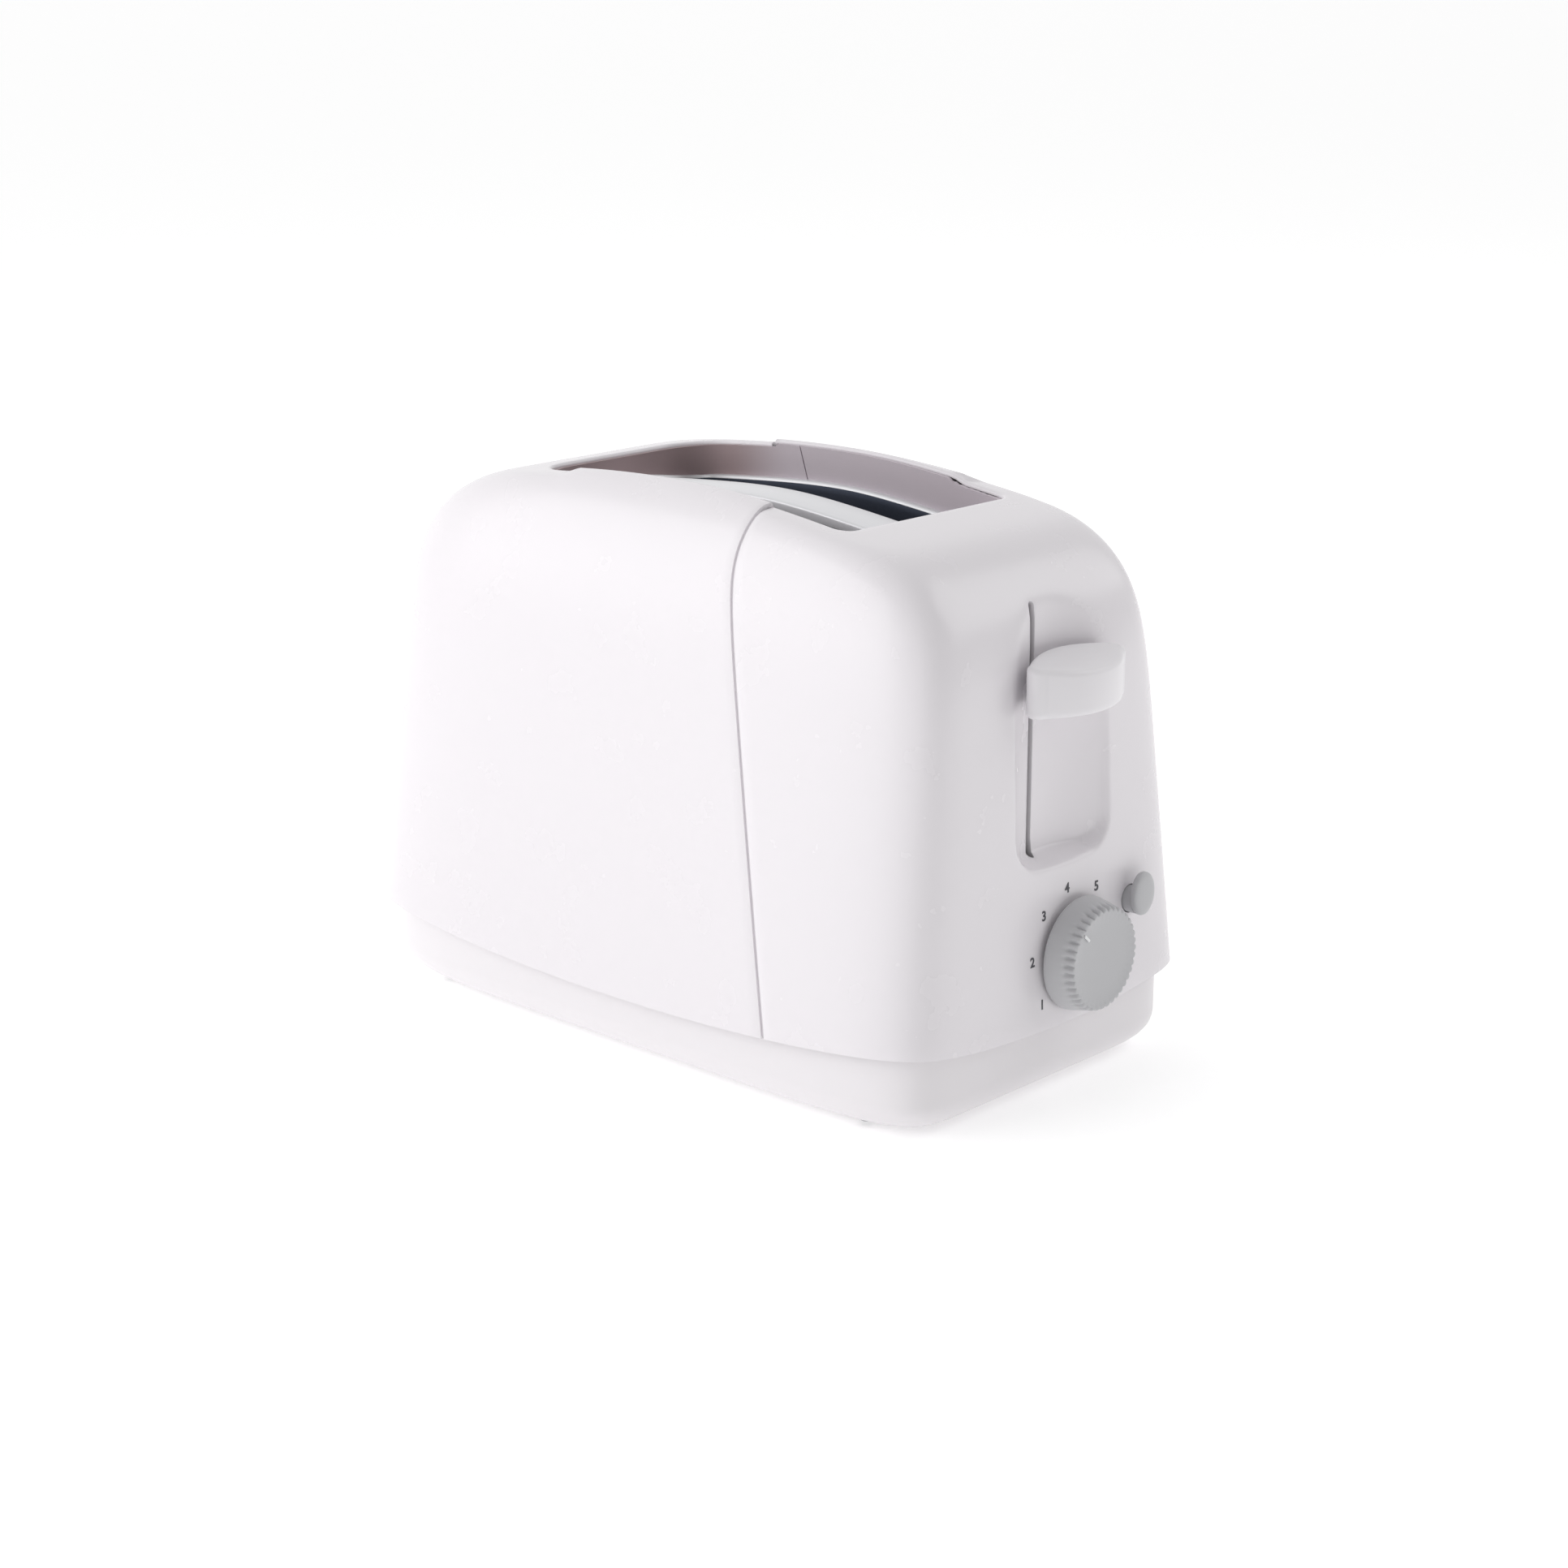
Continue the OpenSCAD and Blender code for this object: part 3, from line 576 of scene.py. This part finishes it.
def build_materials():
    MAT["casing"] = plastic("white_moulding", (0.80, 0.772, 0.80), 0.27)
    MAT["base"] = plastic("base_moulding", (0.80, 0.775, 0.795), 0.34)
    MAT["lever"] = plastic("lever_moulding", (0.80, 0.78, 0.805), 0.4)
    MAT["control"] = plastic("silver_grey_moulding", (0.50, 0.50, 0.515), 0.42, grain=1400)
    MAT["print"] = plastic("dark_print", (0.09, 0.09, 0.10), 0.6)
    MAT["mark"] = plastic("pale_print", (0.82, 0.82, 0.83), 0.5)
    MAT["black"] = plastic("black_moulding", (0.03, 0.03, 0.032), 0.5)
    MAT["rubber"] = plastic("foot_rubber", (0.04, 0.04, 0.04), 0.75, grain=500, grain_strength=0.2)
    MAT["plate"] = brushed_metal("slot_plate_satin", (0.80, 0.80, 0.82), 0.4, metallic=0.4)
    # Near-black metal: painted shade down inside the bread slots.
    MAT["collar"] = brushed_metal("slot_collar_shade", (0.10, 0.11, 0.14), 0.5)
    MAT["steel"] = brushed_metal("zinc_steel", (0.50, 0.51, 0.52), 0.42, (120, 120, 120), 0.1, 0.12)
    MAT["wire"] = brushed_metal("bright_wire", (0.55, 0.55, 0.56), 0.3, (400, 400, 40))
    MAT["reflector"] = brushed_metal("aluminised_sheet", (0.62, 0.62, 0.63), 0.3, (8, 300, 600))
    MAT["ribbon"] = brushed_metal("nichrome_ribbon", (0.22, 0.2, 0.19), 0.5)
    MAT["brass"] = brushed_metal("sintered_brass", (0.6, 0.45, 0.2), 0.45, (300, 300, 300), 0.15)
    MAT["iron"] = brushed_metal("ground_iron", (0.3, 0.3, 0.31), 0.4)
    MAT["copper"] = brushed_metal("enamelled_copper", (0.55, 0.24, 0.1), 0.35, (10, 10, 2600), 0.5)
    MAT["mica"] = mica()
    MAT["board"] = plastic("circuit_board", (0.03, 0.12, 0.05), 0.4, grain=300, shift=0.02)
    MAT["lining"] = lining()


def mica():
    """Pale flaky board: cells of slightly different tan with a pearly coat."""
    mat, tree, shader = principled("mica_board", (0.5, 0.43, 0.3), 0.45, Coat_Weight=0.3)
    flakes = tree.nodes.new("ShaderNodeTexVoronoi")
    flakes.inputs["Scale"].default_value = 160
    tree.links.new(object_coordinates(tree), flakes.inputs["Vector"])
    tree.links.new(mixed(tree, flakes.outputs["Distance"], (0.56, 0.48, 0.34), (0.40, 0.33, 0.22)),
                   shader.inputs["Base Color"])
    bump(tree, shader, flakes.outputs["Distance"], 0.1, 0.0003)
    return mat


def lining():
    """The plastic lining of the bread opening, darker and warmer towards the rear: painted shade and a
    painted warm reflection.
    """
    mat, tree, shader = principled("lining_moulding_painted_shade", (0.6, 0.56, 0.58), 0.5)
    vector = object_coordinates(tree)
    split = tree.nodes.new("ShaderNodeSeparateXYZ")
    tree.links.new(vector, split.inputs["Vector"])
    along = tree.nodes.new("ShaderNodeMapRange")
    along.interpolation_type = "SMOOTHSTEP"
    along.inputs["From Min"].default_value = (CASING_X - 55.0) * MM
    along.inputs["From Max"].default_value = (CASING_X - 22.0) * MM
    tree.links.new(split.outputs["X"], along.inputs["Value"])
    # Painted shade and reflection: brownish towards the rear, the lining's grey-pink towards the front.
    tree.links.new(mixed(tree, along.outputs["Result"], (0.36, 0.27, 0.28), (0.56, 0.50, 0.545)),
                   shader.inputs["Base Color"])
    bump(tree, shader, noise(tree, vector, 900, 2), 0.05, 0.0002)
    return mat


# ---------------------------------------------------------------- pieces
def build_casing():
    for half, node in (("rear", "rear_shell"), ("control", "control_shell")):
        obj = casing_half(half)
        solidify(obj, MOULDING_T)
        apply_modifiers(obj)
        if half == "rear":
            cut_inlet_hole(obj)
        bevel(obj, 0.5, 2, 50)
        finish_piece(obj, "housing", MAT["casing"], node, 50)


def cut_away(obj, cutter):
    """Takes the cutter's volume out of the object and removes the cutter."""
    mod = obj.modifiers.new("cut", "BOOLEAN")
    mod.operation = "DIFFERENCE"
    mod.solver = "EXACT"
    mod.object = cutter
    apply_modifiers(obj)
    bpy.data.objects.remove(cutter)


def cut_inlet_hole(obj):
    """The round hole at the rear that the cord inlet sits in."""
    bpy.ops.mesh.primitive_cylinder_add(vertices=48, radius=INLET_R * MM, depth=0.03)
    cutter = bpy.context.object
    cutter.rotation_euler = (0, math.radians(90), 0)
    cutter.location = Vector((CASING_X - CASING_L / 2, INLET_Y, INLET_Z + CASING_Z)) * MM
    cut_away(obj, cutter)


TONGUE_SUNK, TONGUE_HALF_W, TONGUE_T = 1.1, 2.4, 0.7


def build_seam_backing():
    """The tongue under each joint line, which the eye meets at the bottom of the gap."""
    for name, seam, side in (("near", near_seam_x, -1), ("far", far_seam_x, 1)):
        rows = []
        for level in np.concatenate([np.linspace(0.0, 0.8, 30), np.linspace(0.82, 0.945, 24)]):
            lv = np.array([level])
            z = EDGE_H + lv * (CROWN_H - EDGE_H)
            for _ in range(12):
                spread = np.power(1 - np.power(lv, PZ), 1 / PS)
                zz = EDGE_H + lv * (CROWN_H - EDGE_H)
                reach = (CASING_L / 2 - END_TAPER * (zz - EDGE_H)) * np.power(spread, 1 / PX)
                f = seam(z) / reach
                x, y, z = casing_point(f, side * across(f, PX, PY), lv, "control" if side < 0 else "rear")
            rows.append((float(x[0]), float(y[0]), float(z[0])))
        line = np.array(rows)
        tangent = np.gradient(line, axis=0)
        normal = np.stack([np.zeros(len(line)), side * tangent[:, 2], -side * tangent[:, 1]], axis=1)
        normal *= np.sign(normal[:, 1:2] * side + 1e-9)
        normal /= np.linalg.norm(normal, axis=1, keepdims=True)
        sunk = line - normal * TONGUE_SUNK
        pts = np.concatenate([sunk + [off, 0, 0] for off in (-TONGUE_HALF_W, 0, TONGUE_HALF_W)])
        obj = new_object(name + "_joint_tongue", pts, grid_faces(3, len(line)))
        solidify(obj, TONGUE_T, 0)
        finish_piece(obj, "housing", MAT["casing"])


def unit_ring(count=30):
    """A full ring of plan directions on the unit outline."""
    side = np.linspace(-1, 1, 41)
    side = np.sign(side) * spaced_abs(np.abs(side)) * SIDE_END
    end = np.linspace(-1, 1, count)
    end = np.sign(end) * spaced_abs(np.abs(end)) * END_CUT
    ring = [(-s, float(across(s, PX, PY))) for s in side]
    ring += [(-float(across(e, PY, PX)), -e) for e in end[1:-1]]
    ring += [(s, -float(across(s, PX, PY))) for s in side]
    ring += [(float(across(e, PY, PX)), e) for e in end[1:-1]]
    return np.array(ring)


def spaced_abs(v):
    return 1 - (1 - v) ** 1.3


def build_base():
    """The base tray with a rolled lower edge, open inside, with the crumb tray's mouth at the rear."""
    ring = unit_ring()
    half_l, half_w, roll = 127.0, 72.5, 11.0
    side_top, wall_t, floor_t = 30.0, 2.4, 2.5
    rows = []

    def row(inset, z):
        rows.append(np.stack([(half_l - inset) * ring[:, 0], (half_w - inset) * ring[:, 1],
                              np.full(len(ring), z)], axis=1))

    for a in np.radians([90, 78, 66, 54, 42, 30, 18, 8, 0]):
        row(roll * (1 - math.cos(a)), BASE_LOW + roll * (1 - math.sin(a)))
    row(0, 22.0)
    row(0, side_top)
    row(wall_t, side_top)
    row(wall_t, BASE_LOW + 12.5)
    row(6.0, BASE_LOW + 4.5)
    row(12.0, BASE_LOW + floor_t)
    n = len(ring)
    pts = np.concatenate(rows).tolist()
    faces = grid_faces(len(rows), n, 0, True)
    for first in (0, (len(rows) - 1) * n):
        faces.append(tuple(range(first, first + n)))
    obj = new_object("base_moulding", pts, faces)
    low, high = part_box("crumb_tray")
    bpy.ops.mesh.primitive_cube_add(size=1)
    cutter = bpy.context.object
    cutter.scale = (0.03, (high.y - low.y) + 0.0016, (high.z - low.z) + 0.0012)
    cutter.location = (low.x + 0.004, 0, (low.z + high.z) / 2)
    cut_away(obj, cutter)
    bevel(obj, 0.5, 2, 50)
    finish_piece(obj, "housing", MAT["base"], "base_tray", 40)


def build_well_lining():
    """The upright lining of the bread opening, in two pieces that meet on a fine line."""
    outline, normals = rounded_rect(OPEN_L / 2 - 0.15, OPEN_W / 2 - 0.15, OPEN_R, 92, OPEN_R_REAR)
    split_x, split_z, split_gap = -18.0, 181.0, 0.25
    depth, draft, levels = 20.0, 0.4, 12
    rows = []
    edge = np.concatenate(RIM_EDGES)
    x, y = outline[:, 0], outline[:, 1]
    away = np.hypot(edge[:, 0:1] - x, edge[:, 1:2] - y)
    near_three = np.argsort(away, axis=0)[:3]
    top = edge[near_three, 2].min(axis=0) + 0.25
    for t in [k / (levels - 1) for k in range(levels)]:
        z = top - t * depth
        rows.append(np.stack([x - normals[:, 0] * draft * t, y - normals[:, 1] * draft * t, z], axis=1))
    pts = np.concatenate(rows)
    obj = new_object("opening_lining", pts, grid_faces(levels, len(outline), 0, True))
    bm = bmesh.new()
    bm.from_mesh(obj.data)
    cut_at, cut_z = (split_x + CASING_X) * MM, (split_z + CASING_Z) * MM
    lean = Vector((1, 0, 0.35)).normalized()
    for offset in (-split_gap, split_gap):
        bmesh.ops.bisect_plane(bm, geom=bm.verts[:] + bm.edges[:] + bm.faces[:],
                               plane_co=(cut_at + offset * MM, 0, cut_z), plane_no=lean)
    gap = [f for f in bm.faces
           if abs((f.calc_center_median() - Vector((cut_at, 0, cut_z))).dot(lean)) < 0.24 * MM]
    bmesh.ops.delete(bm, geom=gap, context="FACES")
    bm.to_mesh(obj.data)
    bm.free()
    solidify(obj, 1.6)
    finish_piece(obj, "housing", MAT["lining"], "well_lining", 40)


def build_slot_plate():
    """The arched plate: a crowned strip between two slots whose edges roll down into collars."""
    outer, _ = rounded_rect(OPEN_L / 2 - 0.9, OPEN_W / 2 - 0.9, 4.4, 30, OPEN_R_REAR - 1.0)
    slot_y, slot_half_l, slot_half_w, slot_r, roll = 22.2, 66.0, 13.8, 6.0, 1.1
    collar_shade_from = 2.2        # below the plate, the collars' faces take a near-black metal as painted shade

    strip_half_w, strip_drop, strip_crown, side_fall = 8.4, 8.2, 0.9, 2.9

    def plate_z(x, y):
        off_middle = np.abs(y)
        crown = strip_crown * np.clip(off_middle / strip_half_w, 0, 1) ** 2
        fall = side_fall * ramp((off_middle - strip_half_w) / (2 * slot_half_w))
        return arch(x) - (strip_drop + crown + fall)

    loops, hole_normals = [], []
    for side in (-1, 1):
        loop, normal = rounded_rect(slot_half_l + roll, slot_half_w + roll, slot_r + roll, 34)
        loops.append(loop + [0, side * slot_y])
        hole_normals.append(normal)
    interior = [(float(x), float(y)) for x in np.arange(-70, 71, 2.0) for y in (-5.4, -2.8, 0, 2.8, 5.4)]
    interior += [(69.2, float(y)) for y in np.arange(-34, 35, 2.0)]
    interior += [(-69.2, float(y)) for y in np.arange(-20, 21, 2.0)]
    flat, source, tris = triangulate(outer.tolist(), [l.tolist() for l in loops], interior)
    xy = np.array(flat)
    pts = np.column_stack([xy, plate_z(xy[:, 0], xy[:, 1])]).tolist()
    faces = list(tris)
    where = {s: i for i, s in enumerate(source)}
    first = len(outer)
    for loop, normal in zip(loops, hole_normals):
        ring = [where[first + i] for i in range(len(loop))]
        base_z = plate_z(loop[:, 0], loop[:, 1])
        for a, deeper in ((30, 0), (60, 0), (90, 0), (90, 2.5), (90, 7.5)):
            turn = math.radians(a)
            inward, drop = roll * math.sin(turn), roll * (1 - math.cos(turn)) + deeper
            nxt = list(range(len(pts), len(pts) + len(loop)))
            pts += np.column_stack([loop - normal * inward, base_z - drop]).tolist()
            n = len(loop)
            faces += [(ring[i], ring[(i + 1) % n], nxt[(i + 1) % n], nxt[i]) for i in range(n)]
            ring = nxt
        first += len(loop)
    obj = new_object("slot_plate_sheet", pts, faces)
    solidify(obj, 0.6)
    finish_piece(obj, "housing", MAT["plate"], "slot_plate", 50)
    # Faces below the plate get the near-black metal, painted shade inside the slots.
    obj.data.materials.append(MAT["collar"])
    for face in obj.data.polygons:
        x, y, z = np.array(face.center) / MM - [CASING_X, 0, CASING_Z]
        if z < plate_z(x, y) - collar_shade_from:
            face.material_index = 1


def lens_outline(front_r, front_x, back_r, back_x, half_w, tip_r, count=40):
    """A lens in plan: bowed front and back with rounded tips, as (x, y) round the shape."""
    pts = []
    for t in np.linspace(-1, 1, count):
        y = t * (half_w - tip_r)
        pts.append((front_x - front_r + math.sqrt(front_r ** 2 - y * y), y))
    back = []
    for t in np.linspace(1, -1, count):
        y = t * (half_w - tip_r)
        back.append((back_x - math.sqrt(back_r ** 2 - y * y), y))

    def tip(a, b, side):
        mid = ((a[0] + b[0]) / 2, (a[1] + b[1]) / 2)
        r = abs(a[0] - b[0]) / 2
        start = 0 if side > 0 else 180
        out = []
        for k in range(1, 10):
            ang = math.radians(start + 180 * k / 10)
            out.append((mid[0] + r * math.cos(ang), mid[1] + tip_r * math.sin(ang)))
        return out

    top_tip = tip(pts[-1], back[0], 1)
    low_tip = tip(back[-1], pts[0], -1)
    return np.array(pts + top_tip + back + low_tip)


def build_lever():
    """The finger lever: lens-shaped, with soft edges and a top that falls towards the front."""
    front_r, front_x, back_gap, half_w, tip_r = 31.2, 140.9, 3.2, 23.0, 3.0
    outline = lens_outline(front_r, front_x, SCOOP_R - back_gap, SCOOP_X, half_w, tip_r)
    centre = outline.mean(axis=0)
    edge = np.roll(outline, -1, axis=0) - np.roll(outline, 1, axis=0)
    normal = np.stack([edge[:, 1], -edge[:, 0]], axis=1)
    normal /= np.linalg.norm(normal, axis=1, keepdims=True)
    normal *= np.sign(np.sum(normal * (outline - centre), axis=1, keepdims=True))
    soft, dish_depth = 1.8, 0.55
    low_z, top_back_z, top_back_x, top_slope = 125.5, 143.6, 122, 0.2

    def top_z(x):
        return top_back_z - top_slope * (x - top_back_x)

    rows = []

    def row(inset, z):
        shape = outline - normal * inset
        rows.append(np.column_stack([shape[:, 0], shape[:, 1] + SCOOP_Y, np.broadcast_to(z, len(shape))]))

    for a in (90, 60, 30, 0):
        r = math.radians(a)
        row(soft * (1 - math.cos(r)), low_z + soft * (1 - math.sin(r)))
    row(0, (low_z + 132) / 2)
    for a in (0, 25, 50, 75, 90):
        r = math.radians(a)
        inset = soft * (1 - math.cos(r))
        shape = outline - normal * inset
        row(inset, top_z(shape[:, 0]) - soft * (1 - math.sin(r)))
    rim = outline - normal * soft
    for s in (0.25, 0.5, 0.75):
        shape = rim + (centre - rim) * s
        dish = dish_depth * ramp(s * 1.3)
        rows.append(np.column_stack([shape[:, 0], shape[:, 1] + SCOOP_Y, top_z(shape[:, 0]) - dish]))
    n = len(outline)
    pts = np.concatenate(rows).tolist()
    faces = grid_faces(len(rows), n, 0, True)
    under = len(pts)
    pts.append([centre[0], centre[1] + SCOOP_Y, low_z])
    pts.append([centre[0], centre[1] + SCOOP_Y, float(top_z(centre[0])) - dish_depth])
    last = (len(rows) - 1) * n
    faces += [(i, (i + 1) % n, under) for i in range(n)]
    faces += [(last + i, last + (i + 1) % n, under + 1) for i in range(n)]
    obj = new_object("finger_lever", pts, faces)
    finish_piece(obj, "lift", MAT["lever"], "lever_knob", 60)


def build_dial():
    """A conical dial: smooth skirt, bright bevel, scalloped front edge and a shallow dished face."""
    low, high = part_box("dial")
    x0 = low.x / MM - CASING_X
    depth = (high.x - low.x) / MM
    profile = [(18.8, 0.0, 0), (19.0, 0.4, 0), (18.95, 1.2, 0), (18.6, 3.2, 0), (18.1, 5.6, 0),
               (17.75, 7.0, 0.15), (17.6, 7.8, 0.9), (17.4, 9.0, 1.0), (17.2, depth - 0.6, 1.0),
               (16.8, depth - 0.1, 0.9), (16.2, depth, 0.5), (15.4, depth - 0.2, 0.1),
               (11.0, depth - 0.5, 0), (5.0, depth - 0.6, 0)]
    lobes, per_lobe, lobe_depth = 40, 8, 1.05
    n = lobes * per_lobe
    ang = np.arange(n) * 2 * math.pi / n
    rows = []
    for r, x, scallop in profile:
        rr = r - lobe_depth * scallop * ((1 - np.cos(ang * lobes)) / 2) ** 2
        rows.append(np.column_stack([np.full(n, x0 + x), DIAL_Y + rr * np.cos(ang),
                                     DIAL_Z + rr * np.sin(ang)]))
    pts = np.concatenate(rows).tolist()
    faces = grid_faces(len(rows), n, 0, True)
    pts.append([x0 + depth - 0.6, DIAL_Y, DIAL_Z])
    pts.append([x0, DIAL_Y, DIAL_Z])
    last = (len(rows) - 1) * n
    faces += [(last + i, last + (i + 1) % n, len(pts) - 2) for i in range(n)]
    faces += [(i, (i + 1) % n, len(pts) - 1) for i in range(n)]
    obj = new_object("browning_dial", pts, faces)
    finish_piece(obj, "dial", MAT["control"], "dial", 50)
    build_dial_pointer(x0 + depth)


def bar(name, centre, size, angle, material, body):
    """A thin raised bar on a face square to X, turned by an angle in the YZ plane."""
    mesh = bmesh.new()
    bmesh.ops.create_cube(mesh, size=1.0)
    bmesh.ops.scale(mesh, vec=size, verts=mesh.verts)
    bmesh.ops.bevel(mesh, geom=mesh.edges[:], offset=min(size) * 0.3, segments=2, affect="EDGES")
    pts, faces = [tuple(v.co) for v in mesh.verts], [tuple(v.index for v in f.verts) for f in mesh.faces]
    mesh.free()
    c, s = math.cos(angle), math.sin(angle)
    turned = [(x + centre[0], y * c - z * s + centre[1], y * s + z * c + centre[2]) for x, y, z in pts]
    obj = new_object(name, turned, faces)
    return finish_piece(obj, body, material)


def build_dial_pointer(face_x):
    """A pale pointer near the dial's edge."""
    pointer, r = math.radians(136), 13.6
    place = (face_x - 0.02, DIAL_Y + r * math.cos(pointer), DIAL_Z + r * math.sin(pointer))
    bar("dial_pointer", place, (0.5, 3.6, 0.9), pointer, MAT["mark"], "dial")


NUMBER_RING_R, NUMBER_SIZE = 22.4, 4.6
NUMBER_ANGLES = (("1", 218), ("2", 176), ("3", 136), ("4", 100), ("5", 59))


def build_numbers():
    """The setting numbers 1 to 5, as thin print that lies on the casing round the dial."""
    for number, deg in NUMBER_ANGLES:
        a = math.radians(deg)
        cy, cz = DIAL_Y + NUMBER_RING_R * math.cos(a), DIAL_Z + NUMBER_RING_R * math.sin(a)
        curve = bpy.data.curves.new("number_" + number, "FONT")
        curve.body = number
        curve.size = NUMBER_SIZE
        curve.offset = 0.1
        curve.align_x = "CENTER"
        curve.align_y = "CENTER"
        curve.extrude = 0.06
        curve.resolution_u = 4
        text = bpy.data.objects.new("number_" + number, curve)
        bpy.context.scene.collection.objects.link(text)
        bpy.context.view_layer.update()
        mesh = bpy.data.meshes.new_from_object(text.evaluated_get(bpy.context.evaluated_depsgraph_get()))
        bpy.data.objects.remove(text)
        co = np.array([v.co for v in mesh.vertices])
        y, z = cy + co[:, 0], cz + co[:, 1]
        x = panel_x(y, z) + 0.07 + co[:, 2]
        faces = [tuple(p.vertices) for p in mesh.polygons]
        bpy.data.meshes.remove(mesh)
        obj = new_object("scale_number_" + number, np.column_stack([x, y, z]), faces, False)
        finish_piece(obj, "housing", MAT["print"], (), 0)


def build_button():
    """An oval, slightly domed cap on its round stem."""
    _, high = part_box("cancel_button")
    front, cap_t = high.x / MM - CASING_X, 2.7
    cy, cz, half_w, half_h = BUTTON_Y, BUTTON_Z, 5.6, 7.4
    n = 64
    ang = np.arange(n) * 2 * math.pi / n

    def oval(scale, x):
        return np.column_stack([np.full(n, x), cy + half_w * scale * np.cos(ang),
                                cz + half_h * scale * np.sin(ang)])

    cap = [(0.9, 2.7), (0.97, 2.5), (1.0, 2.0), (1.0, 1.2),
           (0.975, 0.75), (0.9, 0.42), (0.7, 0.16), (0.4, 0.04)]
    rows = [oval(scale, front - behind) for scale, behind in cap]
    pts = np.concatenate(rows).tolist()
    faces = grid_faces(len(rows), n, 0, True)
    pts.append([front, cy, cz])
    pts.append([front - cap_t, cy, cz])
    last = (len(rows) - 1) * n
    faces += [(last + i, last + (i + 1) % n, len(pts) - 2) for i in range(n)]
    faces += [(i, (i + 1) % n, len(pts) - 1) for i in range(n)]
    first = len(pts)
    stem_r, collar_r = 4.5, 6.1
    stem = [(stem_r, front - 2.72), (stem_r, 124.0), (collar_r, 124.0), (collar_r, 122.4),
            (stem_r, 122.4), (stem_r, 118.9), (4.1, 118.4)]
    for r, x in stem:
        pts += np.column_stack([np.full(n, x), cy + r * np.cos(ang), STEM_Z + r * np.sin(ang)]).tolist()
    faces += grid_faces(len(stem), n, first, True)
    for at in (first, first + (len(stem) - 1) * n):
        faces.append(tuple(range(at, at + n)))
    obj = new_object("cancel_button_cap", pts, faces)
    finish_piece(obj, "cancel_button", MAT["control"], "cancel_button", 45)


def dress_cad_nodes():
    """Finishes for the CAD nodes that stay in view."""
    finish = {
        "steel": ["front_plate", "rear_plate", "carriage", "lever_arm", "guide_rod", "base_screws",
                  "lift_spring"],
        "wire": ["guide_near_outer", "guide_near_inner", "guide_far_inner", "guide_far_outer",
                 "rack_near", "rack_far"],
        "reflector": ["reflector_near", "reflector_far", "crumb_tray"],
        "mica": ["heater_near", "heater_far", "heater_centre"],
        "ribbon": ["winding_near", "winding_far", "winding_centre"],
        "brass": ["carriage_bush"],
        "lever": ["dial_shaft"],
        "iron": ["latch_armature", "magnet_core"],
        "copper": ["magnet_coil"],
        "board": ["control_board"],
        "black": ["potentiometer", "cancel_switch", "mains_switch", "cord_inlet"],
        "rubber": ["feet"],
    }
    for key, names in finish.items():
        for name in names:
            slots = NODES[name].data.materials
            slots.clear()
            slots.append(MAT[key])


# ---------------------------------------------------------------- camera and light
def build_camera():
    azimuth, elevation, distance = math.radians(42.76), math.radians(16.10), 1.056
    back = Vector((math.cos(elevation) * math.sin(azimuth), -math.cos(elevation) * math.cos(azimuth),
                   math.sin(elevation)))
    target = Vector((4.67 + CASING_X, 4.32, 75.47 + CASING_Z)) * MM
    cam = bpy.data.cameras.new("camera")
    cam.sensor_width = 36
    cam.lens = 69.9
    cam.clip_start = 0.05
    obj = bpy.data.objects.new("camera", cam)
    bpy.context.scene.collection.objects.link(obj)
    obj.location = target + back * distance
    obj.rotation_euler = back.to_track_quat("Z", "Y").to_euler()
    bpy.context.scene.camera = obj


def area_light(name, location, aim, size, power, color=(1, 1, 1)):
    light = bpy.data.lights.new(name, "AREA")
    light.shape = "RECTANGLE"
    light.size, light.size_y = size
    light.energy = power
    light.color = color
    obj = bpy.data.objects.new(name, light)
    bpy.context.scene.collection.objects.link(obj)
    obj.location = location
    obj.rotation_euler = (Vector(location) - Vector(aim)).to_track_quat("Z", "Y").to_euler()
    return obj


def build_stage():
    """A pale floor, a studio that is brighter towards the rear end, and two soft boxes."""
    mesh = bpy.data.meshes.new("floor")
    reach = 60.0
    corners = [(-reach, -reach, 0), (reach, -reach, 0), (reach, reach, 0), (-reach, reach, 0)]
    mesh.from_pydata(corners, [], [(0, 1, 2, 3)])
    floor = bpy.data.objects.new("floor", mesh)
    bpy.context.scene.collection.objects.link(floor)
    mat, _, _ = principled("pale_floor", (0.94, 0.94, 0.94), 0.8, Emission_Color=(1, 1, 1, 1),
                           Emission_Strength=0.3)
    floor.data.materials.append(mat)
    world = bpy.data.worlds.new("studio")
    world.use_nodes = True
    tree = world.node_tree
    coord = tree.nodes.new("ShaderNodeTexCoord")
    toward = tree.nodes.new("ShaderNodeVectorMath")
    toward.operation = "DOT_PRODUCT"
    toward.inputs[1].default_value = (-0.45, 0.0, 0.0)
    level = tree.nodes.new("ShaderNodeMath")
    level.operation = "ADD"
    level.inputs[1].default_value = 0.70
    tree.links.new(coord.outputs["Generated"], toward.inputs[0])
    tree.links.new(toward.outputs["Value"], level.inputs[0])
    background = tree.nodes["Background"]
    background.inputs["Color"].default_value = (1, 1, 1, 1)
    tree.links.new(level.outputs["Value"], background.inputs["Strength"])
    bpy.context.scene.world = world
    bpy.context.scene.view_settings.view_transform = "Standard"
    area_light("near_side_softbox", (-0.9, -1.4, 0.7), (0, 0, 0.09), (1.6, 1.2), 10.4)
    area_light("far_end_softbox", (0.9, 1.2, 1.15), (0, 0, 0.09), (1.2, 1.2), 7.6)


build_camera()
build_materials()
build_casing()
build_seam_backing()
build_base()
build_well_lining()
build_slot_plate()
build_lever()
build_dial()
build_numbers()
build_button()
dress_cad_nodes()
build_stage()
